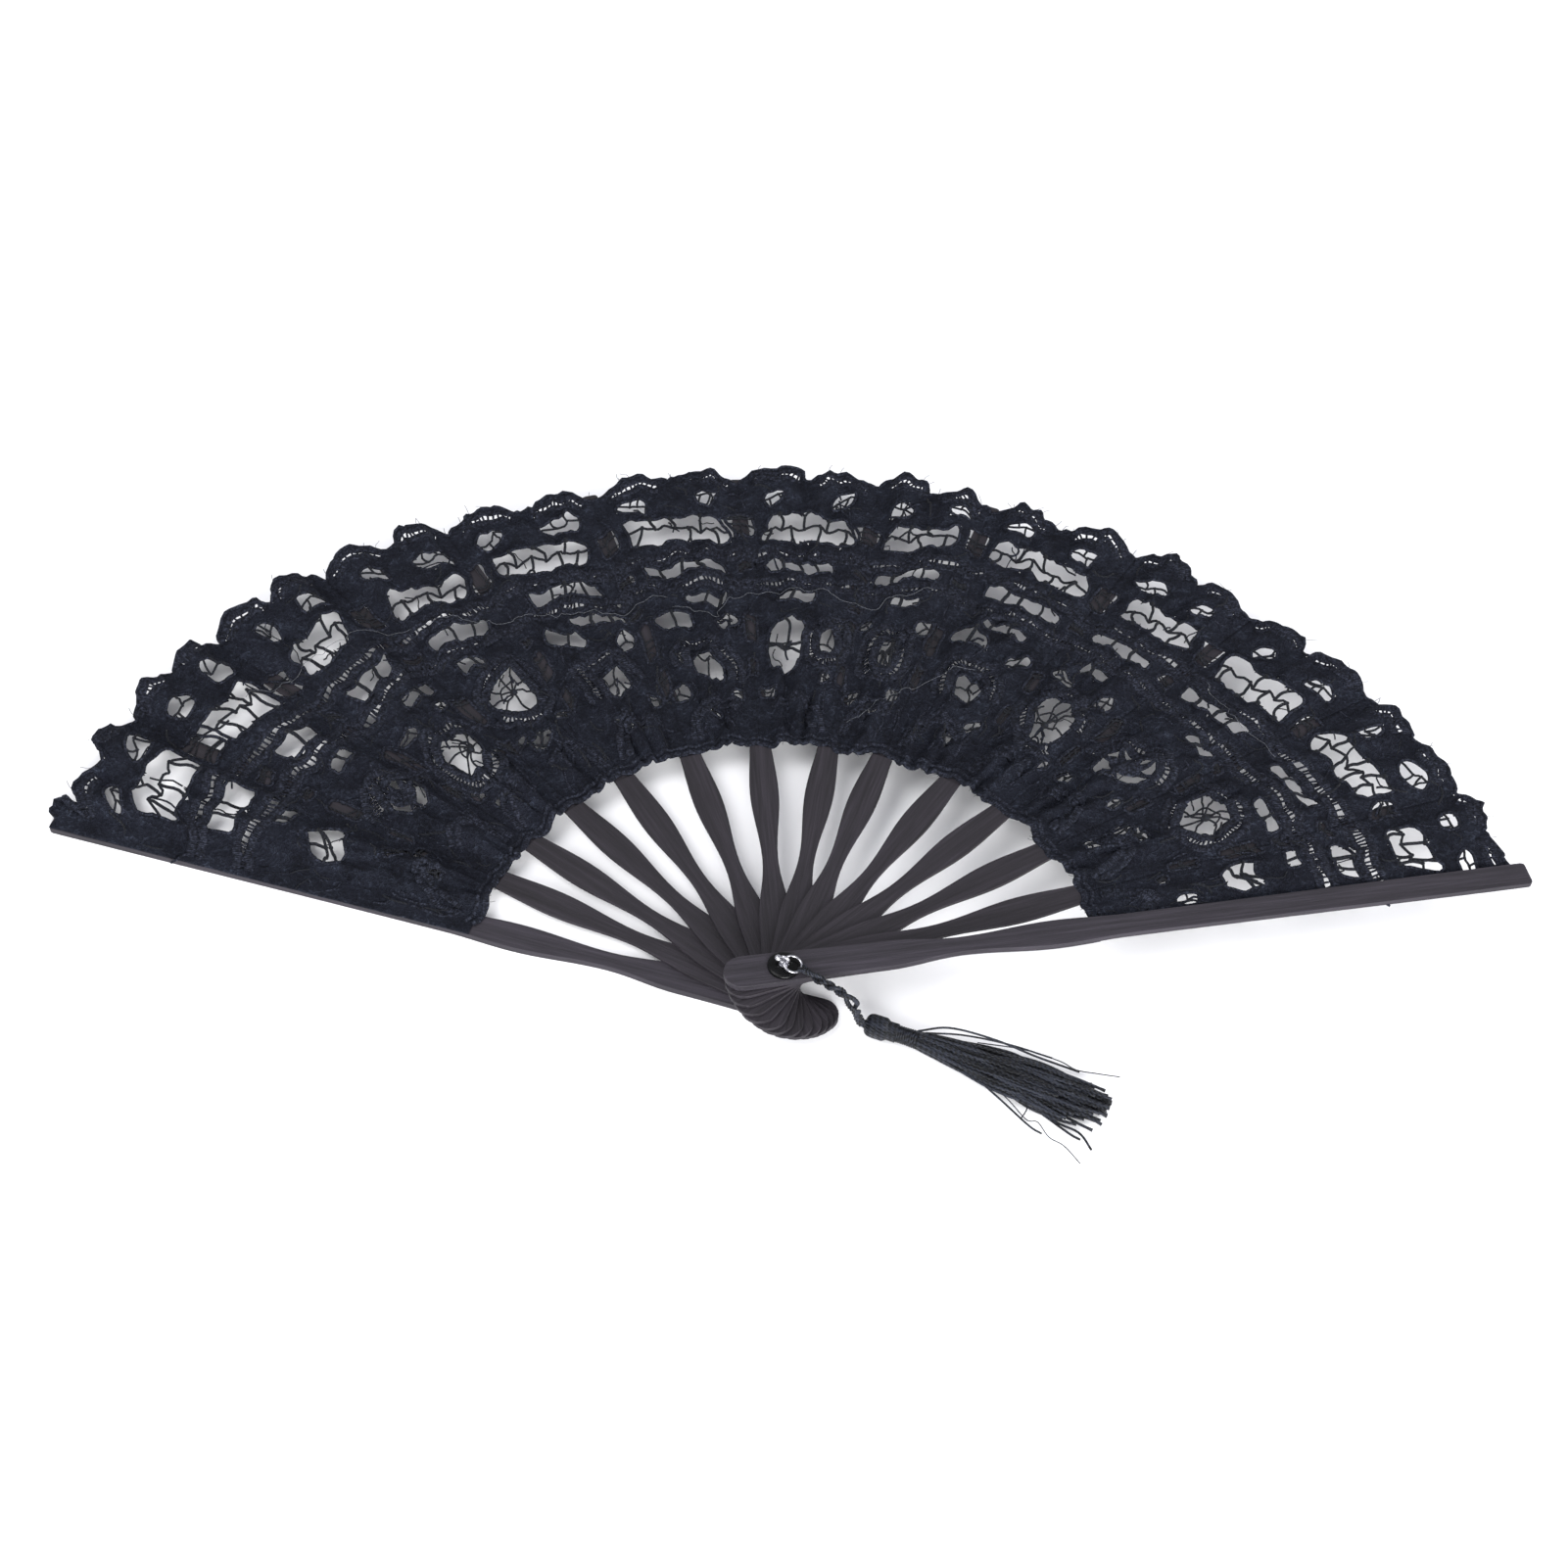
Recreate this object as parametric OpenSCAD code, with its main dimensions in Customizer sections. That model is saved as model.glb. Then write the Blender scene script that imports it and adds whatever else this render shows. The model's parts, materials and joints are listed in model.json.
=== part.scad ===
// Folding hand fan: fourteen sticks on one pivot pin, a lace leaf in panels, and a tassel on a ring.
// Millimetres, +Z up. The origin is on the pivot axis, in the plane that the fan lies on.
// +Y is the middle line of the open fan. Each stick turns in a level of its own.

/* [Guards] */
// Pivot to the tip of a guard
guard_reach = 213.5; // [190:0.5:260]
// Thickness of a guard
guard_t = 2; // [1.5:0.1:3]
// Width of a guard at its shoulder
guard_shoulder_w = 8.7; // [8:0.1:11]
// Width of a guard at its waist
guard_waist_w = 5; // [4:0.1:7]
// Width of a guard at its belly
guard_belly_w = 8.4; // [6:0.1:11]
// Width of a guard beside the leaf
guard_strip_w = 6.8; // [5:0.1:9]
// Width of a guard at its tip
guard_tip_w = 7.6; // [5:0.1:10]

/* [Ribs] */
// Pivot to the outer end of a rib
rib_reach = 202; // [160:0.5:245]
// Thickness of a rib from its tail to the leaf
rib_t = 1.1; // [0.9:0.05:1.6]
// Width of a rib at its shoulder
rib_shoulder_w = 9.2; // [8:0.1:11]
// Width of a rib at its waist
rib_waist_w = 4.4; // [3.5:0.1:6]
// Width of a rib at its belly
rib_belly_w = 8.3; // [6:0.1:10]
// Width of the strip where it enters the leaf
rib_strip_w = 6; // [4:0.1:8]
// Width of the strip at its outer end
rib_tip_w = 5; // [3:0.1:7]

/* [Tails] */
// Pivot to the round end of every tail
tail_reach = 16.3; // [13:0.1:20]
// Width of every tail
tail_w = 10.2; // [9:0.1:12.5]

/* [Leaf] */
// Pivot to the inner edge of the leaf
leaf_inner = 88; // [75:0.5:110]
// Pivot to the crests of the scalloped outer edge
leaf_outer = 208; // [170:0.5:250]
// Thickness of the leaf
leaf_t = 0.3; // [0.1:0.05:0.3]
// Depth of the scallops
scallop_depth = 2.4; // [0:0.1:5]

/* [Pivot] */
// Diameter of the eye pin's shank
pin_d = 2.8; // [2:0.1:4]
// Diameter of the eye pin's flat head
head_d = 6; // [5:0.1:8]
// Thickness of the eye pin's flat head
head_t = 0.7; // [0.4:0.1:1.2]
// Diameter of the domed washer
washer_d = 8.8; // [7:0.1:12]
// Height of the domed washer
washer_h = 1.3; // [0.8:0.1:2.5]
// Outer diameter of the pin's eye
eye_d = 3.3; // [3:0.1:5]
// Wire diameter of the pin's eye
eye_wire = 0.9; // [0.6:0.1:1]
// Outer diameter of the jump ring
ring_d = 5.7; // [5:0.1:8]
// Wire diameter of the jump ring
ring_wire = 0.65; // [0.5:0.1:0.9]

/* [Tassel] */
// Diameter of the tassel's cord
cord_d = 2.2; // [1.6:0.1:2.6]
// Diameter of the tassel's head
knob_d = 6.4; // [5:0.1:9]
// Length of the tassel's head
knob_l = 8.2; // [6:0.1:12]
// Diameter of the wrapped neck
neck_d = 5; // [4:0.1:6]
// Length of the wrapped neck
neck_l = 6.2; // [4:0.1:10]
// Length of the skirt
skirt_l = 55; // [40:0.5:80]
// Width of the skirt at its loose end
skirt_w = 16.4; // [10:0.1:22]
// Thickness of the skirt at its loose end
skirt_t = 4.8; // [3:0.1:6]

/* [Clearances] */
// Gap between a stick and the next one above it
stick_play = 0.1; // [0.05:0.05:0.3]
// Radial gap between the pin and every bore
pin_play = 0.05; // [0.02:0.01:0.1]
// Gap around the pin's head in its recess
head_play = 0.1; // [0.05:0.05:0.3]
// Gap along a stick between its step and the leaf
leaf_gap = 0.5; // [0.2:0.1:2]
// Gap between the leaf and whatever passes over it
leaf_play = 0.2; // [0.1:0.05:0.3]

/* [Hidden] */

// Angle from each stick to the next one above it, as the fan lies open
gap_deg = [11, 10, 11, 11.5, 13.5, 13.5, 13, 10.5, 14, 12, 12.5, 12, 9];
panels = len(gap_deg);
last = panels;
first_panel = last + 1;

// Places along a stick where its outline reaches each width
shoulder_at = 22;
rib_waist_at = 45;
rib_belly_at = 70;
rib_strip_at = 92;
guard_shoulder_at = 28;
guard_waist_at = 49;
guard_belly_at = 76;
guard_strip_at = 96;
outline_step = 3;
tip_corner = 1.2;
tail_centre = -(tail_reach - tail_w / 2);
step_at = leaf_inner - leaf_gap;

rib_shape = [
    [tail_centre, tail_w], [shoulder_at, rib_shoulder_w], [rib_waist_at, rib_waist_w],
    [rib_belly_at, rib_belly_w], [rib_strip_at, rib_strip_w], [rib_reach, rib_tip_w]
];
guard_shape = [
    [tail_centre, tail_w], [guard_shoulder_at, guard_shoulder_w], [guard_waist_at, guard_waist_w],
    [guard_belly_at, guard_belly_w], [guard_strip_at, guard_strip_w], [guard_reach, guard_tip_w]
];

// Levels of the stack
pitch = rib_t + stick_play;
strip_t = pitch - leaf_t - leaf_play;
stack_h = level(last) + guard_t;
washer_z = stack_h + stick_play / 2;
eye_z = washer_z + washer_h + eye_d / 2 - 0.2;
bore_d = pin_d + 2 * pin_play;

// The leaf laps over the middle of the stick at each of its sides by this angle
lap_deg = 0.8;
scallops_per_panel = 2;
scallop_steps = 6;

// The ring hangs from the eye towards the tassel
ring_dir = -17;
ring_droop = 15;
ring_mean_r = (ring_d - ring_wire) / 2;
eye_mean_r = (eye_d - eye_wire) / 2;
bead_r = 1;
bead_at = 1.75;

// The tassel lies on the surface under the fan
tassel_start = [23.5, -6.1, 3.3];
tassel_dir = -17.8;
neck_ridges = 8;
ridge_h = 0.25;
skirt_drop = tassel_start[2] - skirt_t / 2 - 0.1;
cord_sides = 8;

// The cord runs out over the stack, drops past the tails and ends inside the skirt
cord_route = [
    [4.5, -1.4, 20.4], [6.8, -3.1, 20.3], [9.8, -5.2, 20.3], [12.6, -6.9, 20.2], [15.2, -8.3, 19.9],
    [17.3, -9.3, 19], [18.7, -9.9, 17.3], [19.6, -9.9, 14.9], [20.3, -9.5, 12.2], [20.9, -8.9, 9.5],
    [21.5, -8.1, 7], [22.3, -7.2, 4.9], [23.6, -6.5, 3.6], [26, -6.9, 3.3], [30, -8.2, 3.3],
    [35, -9.8, 3.3], [40, -11.4, 3.2], [45, -13, 3], [50, -14.6, 2.8]
];

function level(k) = k == 0 ? 0 : guard_t + stick_play + (k - 1) * pitch;

// Direction of stick k, spread evenly to both sides of +Y
function sum_to(v, n) = n == 0 ? 0 : v[n - 1] + sum_to(v, n - 1);
function stick_dir(k) = 90 + sum_to(gap_deg, panels) / 2 - sum_to(gap_deg, k);

// Half width of a stick at s along it, eased from one width to the next
function ease(t) = (1 - cos(180 * t)) / 2;
function half_at(shape, s, i = 0) =
    s <= shape[i + 1][0] || i == len(shape) - 2
    ? let (t = (s - shape[i][0]) / (shape[i + 1][0] - shape[i][0]))
      (shape[i][1] + (shape[i + 1][1] - shape[i][1]) * ease(t)) / 2
    : half_at(shape, s, i + 1);

// Right side of a stick's outline, from the middle of its tail to the middle of its tip
function right_side(shape) =
    let (reach = shape[len(shape) - 1][0], tip = shape[len(shape) - 1][1] / 2)
    concat(
        [for (a = [180 : 15 : 255]) [tail_centre + tail_w / 2 * cos(a), tail_w / 2 * sin(a)]],
        [for (s = [tail_centre : outline_step : shape[4][0]]) [s, -half_at(shape, s)]],
        [for (s = [shape[4][0] + 4 * outline_step : 8 * outline_step : reach - 2 * outline_step])
            [s, -half_at(shape, s)]],
        [for (a = [-90 : 30 : 0])
            [reach - tip_corner + tip_corner * cos(a), -tip + tip_corner + tip_corner * sin(a)]]
    );

module stick_outline(shape) {
    side = right_side(shape);
    far_side = [for (i = [len(side) - 1 : -1 : 1]) [side[i][0], -side[i][1]]];
    polygon(concat(side, far_side));
}

// The part of a stick between its tail and the step where the leaf begins
module handle_outline(shape) {
    intersection() {
        stick_outline(shape);
        translate([-tail_reach - 1, -tail_w])
            square([step_at + tail_reach + 1, 2 * tail_w]);
    }
}

module bore(height) {
    translate([0, 0, -1])
        cylinder(d = bore_d, h = height + 2, $fn = 48);
}

module rear_guard() {
    color("#3f393f")
        rotate([0, 0, stick_dir(0)])
            difference() {
                linear_extrude(guard_t) stick_outline(guard_shape);
                bore(guard_t);
                translate([0, 0, -1])
                    cylinder(d = head_d + 2 * head_play, h = head_t + head_play + 1, $fn = 48);
            }
}

module rib(k) {
    color("#3c373c")
        translate([0, 0, level(k)])
            rotate([0, 0, stick_dir(k)])
                difference() {
                    union() {
                        linear_extrude(strip_t) stick_outline(rib_shape);
                        linear_extrude(rib_t) handle_outline(rib_shape);
                    }
                    bore(rib_t);
                }
}

// The leaf is glued under the front guard, in a rebate of the leaf's own thickness
module front_guard() {
    color("#4a434b")
        translate([0, 0, level(last)])
            rotate([0, 0, stick_dir(last)])
                difference() {
                    union() {
                        translate([0, 0, leaf_t])
                            linear_extrude(guard_t - leaf_t) stick_outline(guard_shape);
                        linear_extrude(guard_t) handle_outline(guard_shape);
                    }
                    bore(guard_t);
                }
}

// Panel p spans from stick p to the stick above it, which carries it on its strip
module leaf_panel(p) {
    from = stick_dir(p + 1) - lap_deg;
    to = stick_dir(p) + lap_deg;
    steps = scallops_per_panel * scallop_steps;
    base = p + 1 == last ? level(last) : level(p + 1) + strip_t;
    outer = [
        for (i = [0 : steps])
            let (r = leaf_outer - scallop_depth * (1 - abs(sin(180 * i / scallop_steps))))
            r * [cos(from + (to - from) * i / steps), sin(from + (to - from) * i / steps)]
    ];
    inner = [
        for (i = [steps : -2 : 0])
            leaf_inner * [cos(from + (to - from) * i / steps), sin(from + (to - from) * i / steps)]
    ];
    color("#1c2228")
        translate([0, 0, base])
            linear_extrude(leaf_t) polygon(concat(outer, inner));
}

module wire_ring(mean_r, wire) {
    rotate_extrude($fn = 64)
        translate([mean_r, 0])
            circle(d = wire, $fn = 24);
}

module eye_pin() {
    color("#d8d8dc") {
        cylinder(d = head_d, h = head_t, $fn = 48);
        cylinder(d = pin_d, h = washer_z + washer_h, $fn = 48);
        cylinder(d = eye_wire, h = eye_z - eye_mean_r, $fn = 24);
        translate([0, 0, eye_z])
            rotate([0, 0, ring_dir]) {
                rotate([90, 0, 0]) wire_ring(eye_mean_r, eye_wire);
                translate([-bead_at, 0, 0])
                    sphere(r = bead_r, $fn = 32);
            }
    }
}

module pivot_washer() {
    rim_h = washer_h * 0.4;
    color("#101012")
        translate([0, 0, washer_z])
            rotate_extrude($fn = 64)
                polygon(concat(
                    [[bore_d / 2, 0], [washer_d / 2, 0]],
                    [for (a = [0 : 15 : 75])
                        [washer_d / 2 * cos(a), rim_h + (washer_h - rim_h) * sin(a)]],
                    [[bore_d / 2, washer_h]]
                ));
}

module jump_ring() {
    color("#d8d8dc")
        translate([0, 0, eye_z])
            rotate([0, ring_droop, ring_dir])
                translate([ring_mean_r, 0, 0])
                    wire_ring(ring_mean_r, ring_wire);
}

// Puts children on the tassel's line, at s along it, with +Z pointing to the loose end
module on_tassel(s) {
    translate(tassel_start)
        rotate([0, 90, tassel_dir])
            translate([0, 0, s])
                children();
}

function unit(v) = v / norm(v);
function run_at(i) = unit(cord_route[min(i + 1, len(cord_route) - 1)] - cord_route[max(i - 1, 0)]);
function side_at(i) = unit(cross(run_at(i), [0.3, 0.95, 0]));

module tassel_cord() {
    n = len(cord_route);
    rings = [
        for (i = [0 : n - 1])
            let (u = side_at(i), v = cross(run_at(i), u))
            for (j = [0 : cord_sides - 1])
                cord_route[i] + cord_d / 2 * (cos(360 * j / cord_sides) * u + sin(360 * j / cord_sides) * v)
    ];
    walls = [
        for (i = [0 : n - 2], j = [0 : cord_sides - 1])
            let (a = i * cord_sides, b = (j + 1) % cord_sides)
            [a + j, a + b, a + cord_sides + b, a + cord_sides + j]
    ];
    ends = [
        [for (j = [cord_sides - 1 : -1 : 0]) j],
        [for (j = [0 : cord_sides - 1]) (n - 1) * cord_sides + j]
    ];
    color("#16181d")
        polyhedron(rings, concat(walls, ends));
}

module tassel_head() {
    round_r = knob_d * 0.35;
    color("#16181d")
        on_tassel(0)
            rotate_extrude($fn = 48)
                polygon(concat(
                    [[0, 0]],
                    [for (a = [-90 : 15 : 0])
                        [knob_d / 2 - round_r + round_r * cos(a), round_r + round_r * sin(a)]],
                    [for (a = [0 : 15 : 90])
                        [knob_d / 2 - round_r + round_r * cos(a), knob_l - round_r + round_r * sin(a)]],
                    [[0, knob_l]]
                ));
}

module tassel_neck() {
    steps = 4 * neck_ridges;
    color("#16181d")
        on_tassel(knob_l)
            rotate_extrude($fn = 48)
                polygon(concat(
                    [[0, 0]],
                    [for (i = [0 : steps])
                        [neck_d / 2 - ridge_h * (1 + cos(360 * i / 4)) / 2, neck_l * i / steps]],
                    [[0, neck_l]]
                ));
}

module tassel_skirt() {
    end_at = knob_l + neck_l + skirt_l;
    color("#16181d")
        hull() {
            on_tassel(knob_l + neck_l)
                cylinder(d = neck_d - ridge_h, h = 0.5, $fn = 32);
            for (side = [-1, 1])
                on_tassel(end_at)
                    translate([skirt_drop, side * (skirt_w - skirt_t) / 2, -1])
                        cylinder(d = skirt_t, h = 1, $fn = 32);
        }
}

rear_guard();
for (k = [1 : last - 1])
    rib(k);
front_guard();
for (p = [0 : panels - 1])
    leaf_panel(p);
eye_pin();
pivot_washer();
jump_ring();
tassel_cord();
tassel_head();
tassel_neck();
tassel_skirt();
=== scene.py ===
import json
import math
import random

import bpy
import numpy as np
from mathutils import Matrix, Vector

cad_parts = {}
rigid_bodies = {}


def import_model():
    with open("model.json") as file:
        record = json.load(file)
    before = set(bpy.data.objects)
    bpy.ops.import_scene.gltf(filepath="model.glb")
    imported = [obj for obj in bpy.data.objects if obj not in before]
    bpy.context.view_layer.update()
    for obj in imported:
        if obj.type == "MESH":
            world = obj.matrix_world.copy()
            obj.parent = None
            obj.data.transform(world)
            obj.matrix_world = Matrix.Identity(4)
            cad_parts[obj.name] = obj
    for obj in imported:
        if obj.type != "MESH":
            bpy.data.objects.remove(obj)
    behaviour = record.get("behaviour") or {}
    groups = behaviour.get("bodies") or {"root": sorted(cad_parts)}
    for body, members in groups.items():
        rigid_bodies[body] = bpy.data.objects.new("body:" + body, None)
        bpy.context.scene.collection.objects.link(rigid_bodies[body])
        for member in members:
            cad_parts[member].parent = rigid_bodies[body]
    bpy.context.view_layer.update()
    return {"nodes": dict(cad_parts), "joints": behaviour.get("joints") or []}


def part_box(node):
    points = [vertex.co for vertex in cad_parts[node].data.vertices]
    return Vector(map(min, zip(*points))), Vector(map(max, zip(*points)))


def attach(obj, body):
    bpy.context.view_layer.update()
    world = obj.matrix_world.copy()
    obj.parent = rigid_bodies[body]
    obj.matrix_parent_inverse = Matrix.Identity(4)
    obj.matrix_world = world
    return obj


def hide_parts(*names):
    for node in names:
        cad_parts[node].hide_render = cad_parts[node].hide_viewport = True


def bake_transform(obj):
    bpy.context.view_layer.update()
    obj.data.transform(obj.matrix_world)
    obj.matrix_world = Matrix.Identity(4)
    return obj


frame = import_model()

MM = 0.001

# ---------------------------------------------------------------- camera

CAMERA_AT = (-14.4, -424.3, 579.0)
CAMERA_DOWN = 48.9
CAMERA_YAW = 1.42
CAMERA_ROLL = 4.67
LENS = 60.28
SENSOR = 36


def make_camera():
    """A camera above the tassel's side, turned a little and leaning a little, as the object was seen."""
    down, yaw, roll = (math.radians(a) for a in (CAMERA_DOWN, CAMERA_YAW, CAMERA_ROLL))
    ahead = np.array([math.sin(yaw) * math.cos(down), math.cos(yaw) * math.cos(down), -math.sin(down)])
    up = np.array([math.sin(yaw) * math.sin(down), math.cos(yaw) * math.sin(down), math.cos(down)])
    right = np.array([math.cos(yaw), -math.sin(yaw), 0])
    leaned_right = right * math.cos(roll) + up * math.sin(roll)
    leaned_up = up * math.cos(roll) - right * math.sin(roll)
    data = bpy.data.cameras.new("camera")
    data.lens = LENS
    data.sensor_width = SENSOR
    camera = bpy.data.objects.new("camera", data)
    axes = np.column_stack([leaned_right, leaned_up, -ahead, np.array(CAMERA_AT) * MM])
    camera.matrix_world = Matrix([*axes.tolist(), [0, 0, 0, 1]])
    bpy.context.scene.collection.objects.link(camera)
    bpy.context.scene.camera = camera


make_camera()

# ---------------------------------------------------------------- lines and meshes


def smooth(t):
    t = np.clip(t, 0, 1)
    return t * t * (3 - 2 * t)


def ripple(x, y, length, seed, stretch=1.0):
    """Irregular smooth waves, mostly from -1 to 1; stretch draws them out along y."""
    rng = random.Random(seed)
    total = 0.0
    for _ in range(6):
        turn = rng.uniform(0, math.tau)
        k = math.tau / (length * rng.uniform(0.7, 1.5))
        phase = rng.uniform(0, math.tau)
        total = total + np.sin(k * (x * math.cos(turn) + y * math.sin(turn) / stretch) + phase)
    return total / 3


def ridge(x, y, length, seed, stretch):
    """Narrow winding ridges, from 0 to 1."""
    return np.clip(1 - 2.4 * np.abs(ripple(x, y, length, seed, stretch)), 0, 1) ** 1.5


def unit(v):
    return v / np.maximum(np.linalg.norm(v, axis=-1, keepdims=True), 1e-12)


def even(points, step):
    """The same line with its points at most step apart."""
    points = np.asarray(points, float)
    gaps = np.linalg.norm(np.diff(points, axis=0), axis=1)
    along = np.concatenate([[0], np.cumsum(gaps)])
    count = max(2, int(math.ceil(along[-1] / step)) + 1)
    places = np.linspace(0, along[-1], count)
    return np.column_stack([np.interp(places, along, points[:, i]) for i in range(points.shape[1])])


def curve(points, step):
    """A smooth line through a few points."""
    p = np.asarray(points, float)
    p = np.vstack([2 * p[0] - p[1], p, 2 * p[-1] - p[-2]])
    t = np.linspace(0, 1, 12, endpoint=False)[:, None]
    found = []
    for a, b, c, d in zip(p[:-3], p[1:-2], p[2:-1], p[3:]):
        found.append(0.5 * (2 * b + (c - a) * t + (2 * a - 5 * b + 4 * c - d) * t**2
                            + (3 * b - a - 3 * c + d) * t**3))
    return even(np.vstack([*found, p[-2:-1]]), step)


def carried_frames(line):
    """Directions along, aside and upward at each point of a line, carried along it without twist."""
    along = unit(np.gradient(line, axis=0))
    aside = np.zeros_like(line)
    guess = np.cross(along[0], [0, 0, 1])
    for i, t in enumerate(along):
        guess = guess - t * guess.dot(t)
        guess = guess / np.linalg.norm(guess)
        aside[i] = guess
    return along, aside, np.cross(aside, along)


def level_frames(line):
    """Directions along, aside and upward at each point of a line that runs over a nearly level sheet."""
    along = unit(np.gradient(line, axis=0))
    aside = unit(np.cross(along, [0, 0, 1]))
    return along, aside, np.cross(aside, along)


class Build:
    """Collects the faces of one piece. Each point also keeps three numbers that its material reads."""

    def __init__(self):
        self.verts, self.faces, self.slots, self.marks, self.soft = [], [], [], [], []

    def add(self, verts, faces, marks, slot, soft=None):
        base = len(self.verts)
        self.verts.extend(np.asarray(verts).tolist())
        self.marks.extend(np.asarray(marks).tolist())
        self.faces.extend([i + base for i in f] for f in faces)
        self.slots.extend([slot] * len(faces))
        self.soft.extend([True] * len(faces) if soft is None else soft)

    def strand(self, line, wide, high, slot, sides=6, frames=level_frames):
        """A closed tube round a line in metres; wide and high are its half width and half height in mm."""
        line = np.asarray(line, float)
        n = len(line)
        _, aside, upward = frames(line)
        turn = -math.pi / 2 + np.arange(sides) * math.tau / sides
        wide = np.broadcast_to(np.asarray(wide, float), (n,))[:, None, None] * MM
        high = np.broadcast_to(np.asarray(high, float), (n,))[:, None, None] * MM
        rings = line[:, None] + aside[:, None] * wide * np.cos(turn)[None, :, None]
        rings = rings + upward[:, None] * high * np.sin(turn)[None, :, None]
        steps = np.linalg.norm(np.diff(line, axis=0), axis=1) / MM
        run = np.concatenate([[0], np.cumsum(steps)])
        marks = np.stack(np.broadcast_arrays(np.cos(turn)[None], np.sin(turn)[None], run[:, None]), -1)
        faces = []
        for i in range(n - 1):
            a, b = i * sides, (i + 1) * sides
            faces += [(a + j, b + j, b + (j + 1) % sides, a + (j + 1) % sides) for j in range(sides)]
        faces.append(tuple(range(sides)))
        faces.append(tuple((n - 1) * sides + j for j in reversed(range(sides))))
        self.add(rings.reshape(-1, 3), faces, marks.reshape(-1, 3), slot)

    def knot(self, centre, wide, high, slot):
        """A small flattened bead of wound thread."""
        rows, sides = 5, 8
        tilt = np.linspace(-math.pi / 2, math.pi / 2, rows + 2)[1:-1]
        turn = np.arange(sides) * math.tau / sides
        ring = np.stack([np.cos(tilt)[:, None] * np.cos(turn) * wide,
                         np.cos(tilt)[:, None] * np.sin(turn) * wide,
                         np.sin(tilt)[:, None] * high * np.ones(sides)], -1).reshape(-1, 3)
        verts = np.vstack([ring, [[0, 0, -high], [0, 0, high]]]) * MM + np.asarray(centre)
        faces = []
        for i in range(rows - 1):
            a, b = i * sides, (i + 1) * sides
            faces += [(a + j, a + (j + 1) % sides, b + (j + 1) % sides, b + j) for j in range(sides)]
        low, top, end = rows * sides, rows * sides + 1, (rows - 1) * sides
        faces += [(low, (j + 1) % sides, j) for j in range(sides)]
        faces += [(top, end + j, end + (j + 1) % sides) for j in range(sides)]
        marks = np.column_stack([unit(verts - np.asarray(centre))[:, :2], (verts[:, 2] - centre[2]) / MM])
        self.add(verts, faces, marks, slot)

    def piece(self, name, materials):
        mesh = bpy.data.meshes.new(name)
        mesh.from_pydata(self.verts, [], self.faces)
        for m in materials:
            mesh.materials.append(m)
        mesh.polygons.foreach_set("material_index", self.slots)
        mesh.polygons.foreach_set("use_smooth", self.soft)
        marks = mesh.attributes.new("marks", "FLOAT_VECTOR", "POINT")
        marks.data.foreach_set("vector", np.asarray(self.marks, np.float32).ravel())
        mesh.update()
        made = bpy.data.objects.new(name, mesh)
        bpy.context.scene.collection.objects.link(made)
        return made


# ---------------------------------------------------------------- materials


def colour(code):
    """A colour such as 20262d as the linear numbers that a shader takes."""
    parts = [int(code[i:i + 2], 16) / 255 for i in (0, 2, 4)]
    return [c / 12.92 if c <= 0.04045 else ((c + 0.055) / 1.055) ** 2.4 for c in parts] + [1]


class Shader:
    """One material and short names for the nodes it is made of."""

    def __init__(self, name, **values):
        self.made = bpy.data.materials.new(name)
        self.made.use_nodes = True
        self.nodes = self.made.node_tree.nodes
        self.links = self.made.node_tree.links
        self.surface = self.nodes["Principled BSDF"]
        for socket, value in values.items():
            self.surface.inputs[socket.replace("_", " ")].default_value = value

    def node(self, kind, inputs=(), **settings):
        made = self.nodes.new("ShaderNode" + kind)
        for key, value in settings.items():
            setattr(made, key, value)
        for i, value in enumerate(inputs):
            if value is None:
                continue
            if isinstance(value, bpy.types.NodeSocket):
                self.links.new(value, made.inputs[i])
            else:
                made.inputs[i].default_value = value
        return made

    def math(self, operation, *inputs):
        return self.node("Math", inputs, operation=operation).outputs[0]

    def total(self, *parts):
        """The sum of values, each given with its weight."""
        terms = [value if weight == 1 else self.math("MULTIPLY", value, weight) for value, weight in parts]
        found = terms[0]
        for term in terms[1:]:
            found = self.math("ADD", found, term)
        return found

    def noise(self, where, size, detail=3.0, rough=0.55):
        """Noise whose grains are about size mm across."""
        made = self.node("TexNoise")
        self.links.new(where, made.inputs["Vector"])
        made.inputs["Scale"].default_value = 1 / (size * MM)
        made.inputs["Detail"].default_value = detail
        made.inputs["Roughness"].default_value = rough
        return made.outputs["Fac"]

    def lines(self, size, width):
        """Thin winding lines, as crumpled cloth and stray yarns show them: 1 along a line and 0 elsewhere."""
        off = self.math("ABSOLUTE", self.math("SUBTRACT", self.noise(self.place(), size, 2), 0.5))
        return self.span(off, 0.0, width, 1.0, 0.0)

    def place(self):
        return self.node("TexCoord").outputs["Object"]

    def marks(self):
        read = self.node("Attribute", attribute_name="marks")
        split = self.node("SeparateXYZ", [read.outputs["Vector"]])
        return split.outputs

    def ramp(self, value, *stops):
        made = self.node("ValToRGB", [value])
        spots = made.color_ramp.elements
        while len(spots) < len(stops):
            spots.new(0.5)
        for spot, (at, code) in zip(spots, stops):
            spot.position = at
            spot.color = colour(code)
        return made.outputs["Color"]

    def span(self, value, low, high, to_low, to_high):
        return self.node("MapRange", [value, low, high, to_low, to_high]).outputs[0]

    def paint(self, socket, value):
        self.links.new(value, self.surface.inputs[socket])

    def bump(self, height, depth):
        """Relief with the given depth in mm."""
        made = self.node("Bump")
        made.inputs["Distance"].default_value = depth * MM
        self.links.new(height, made.inputs["Height"])
        self.links.new(made.outputs["Normal"], self.surface.inputs["Normal"])


COTTON_SHEEN = {"Sheen_Weight": 0.03, "Sheen_Roughness": 0.4, "Sheen_Tint": colour("a4a8bc")}


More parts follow.
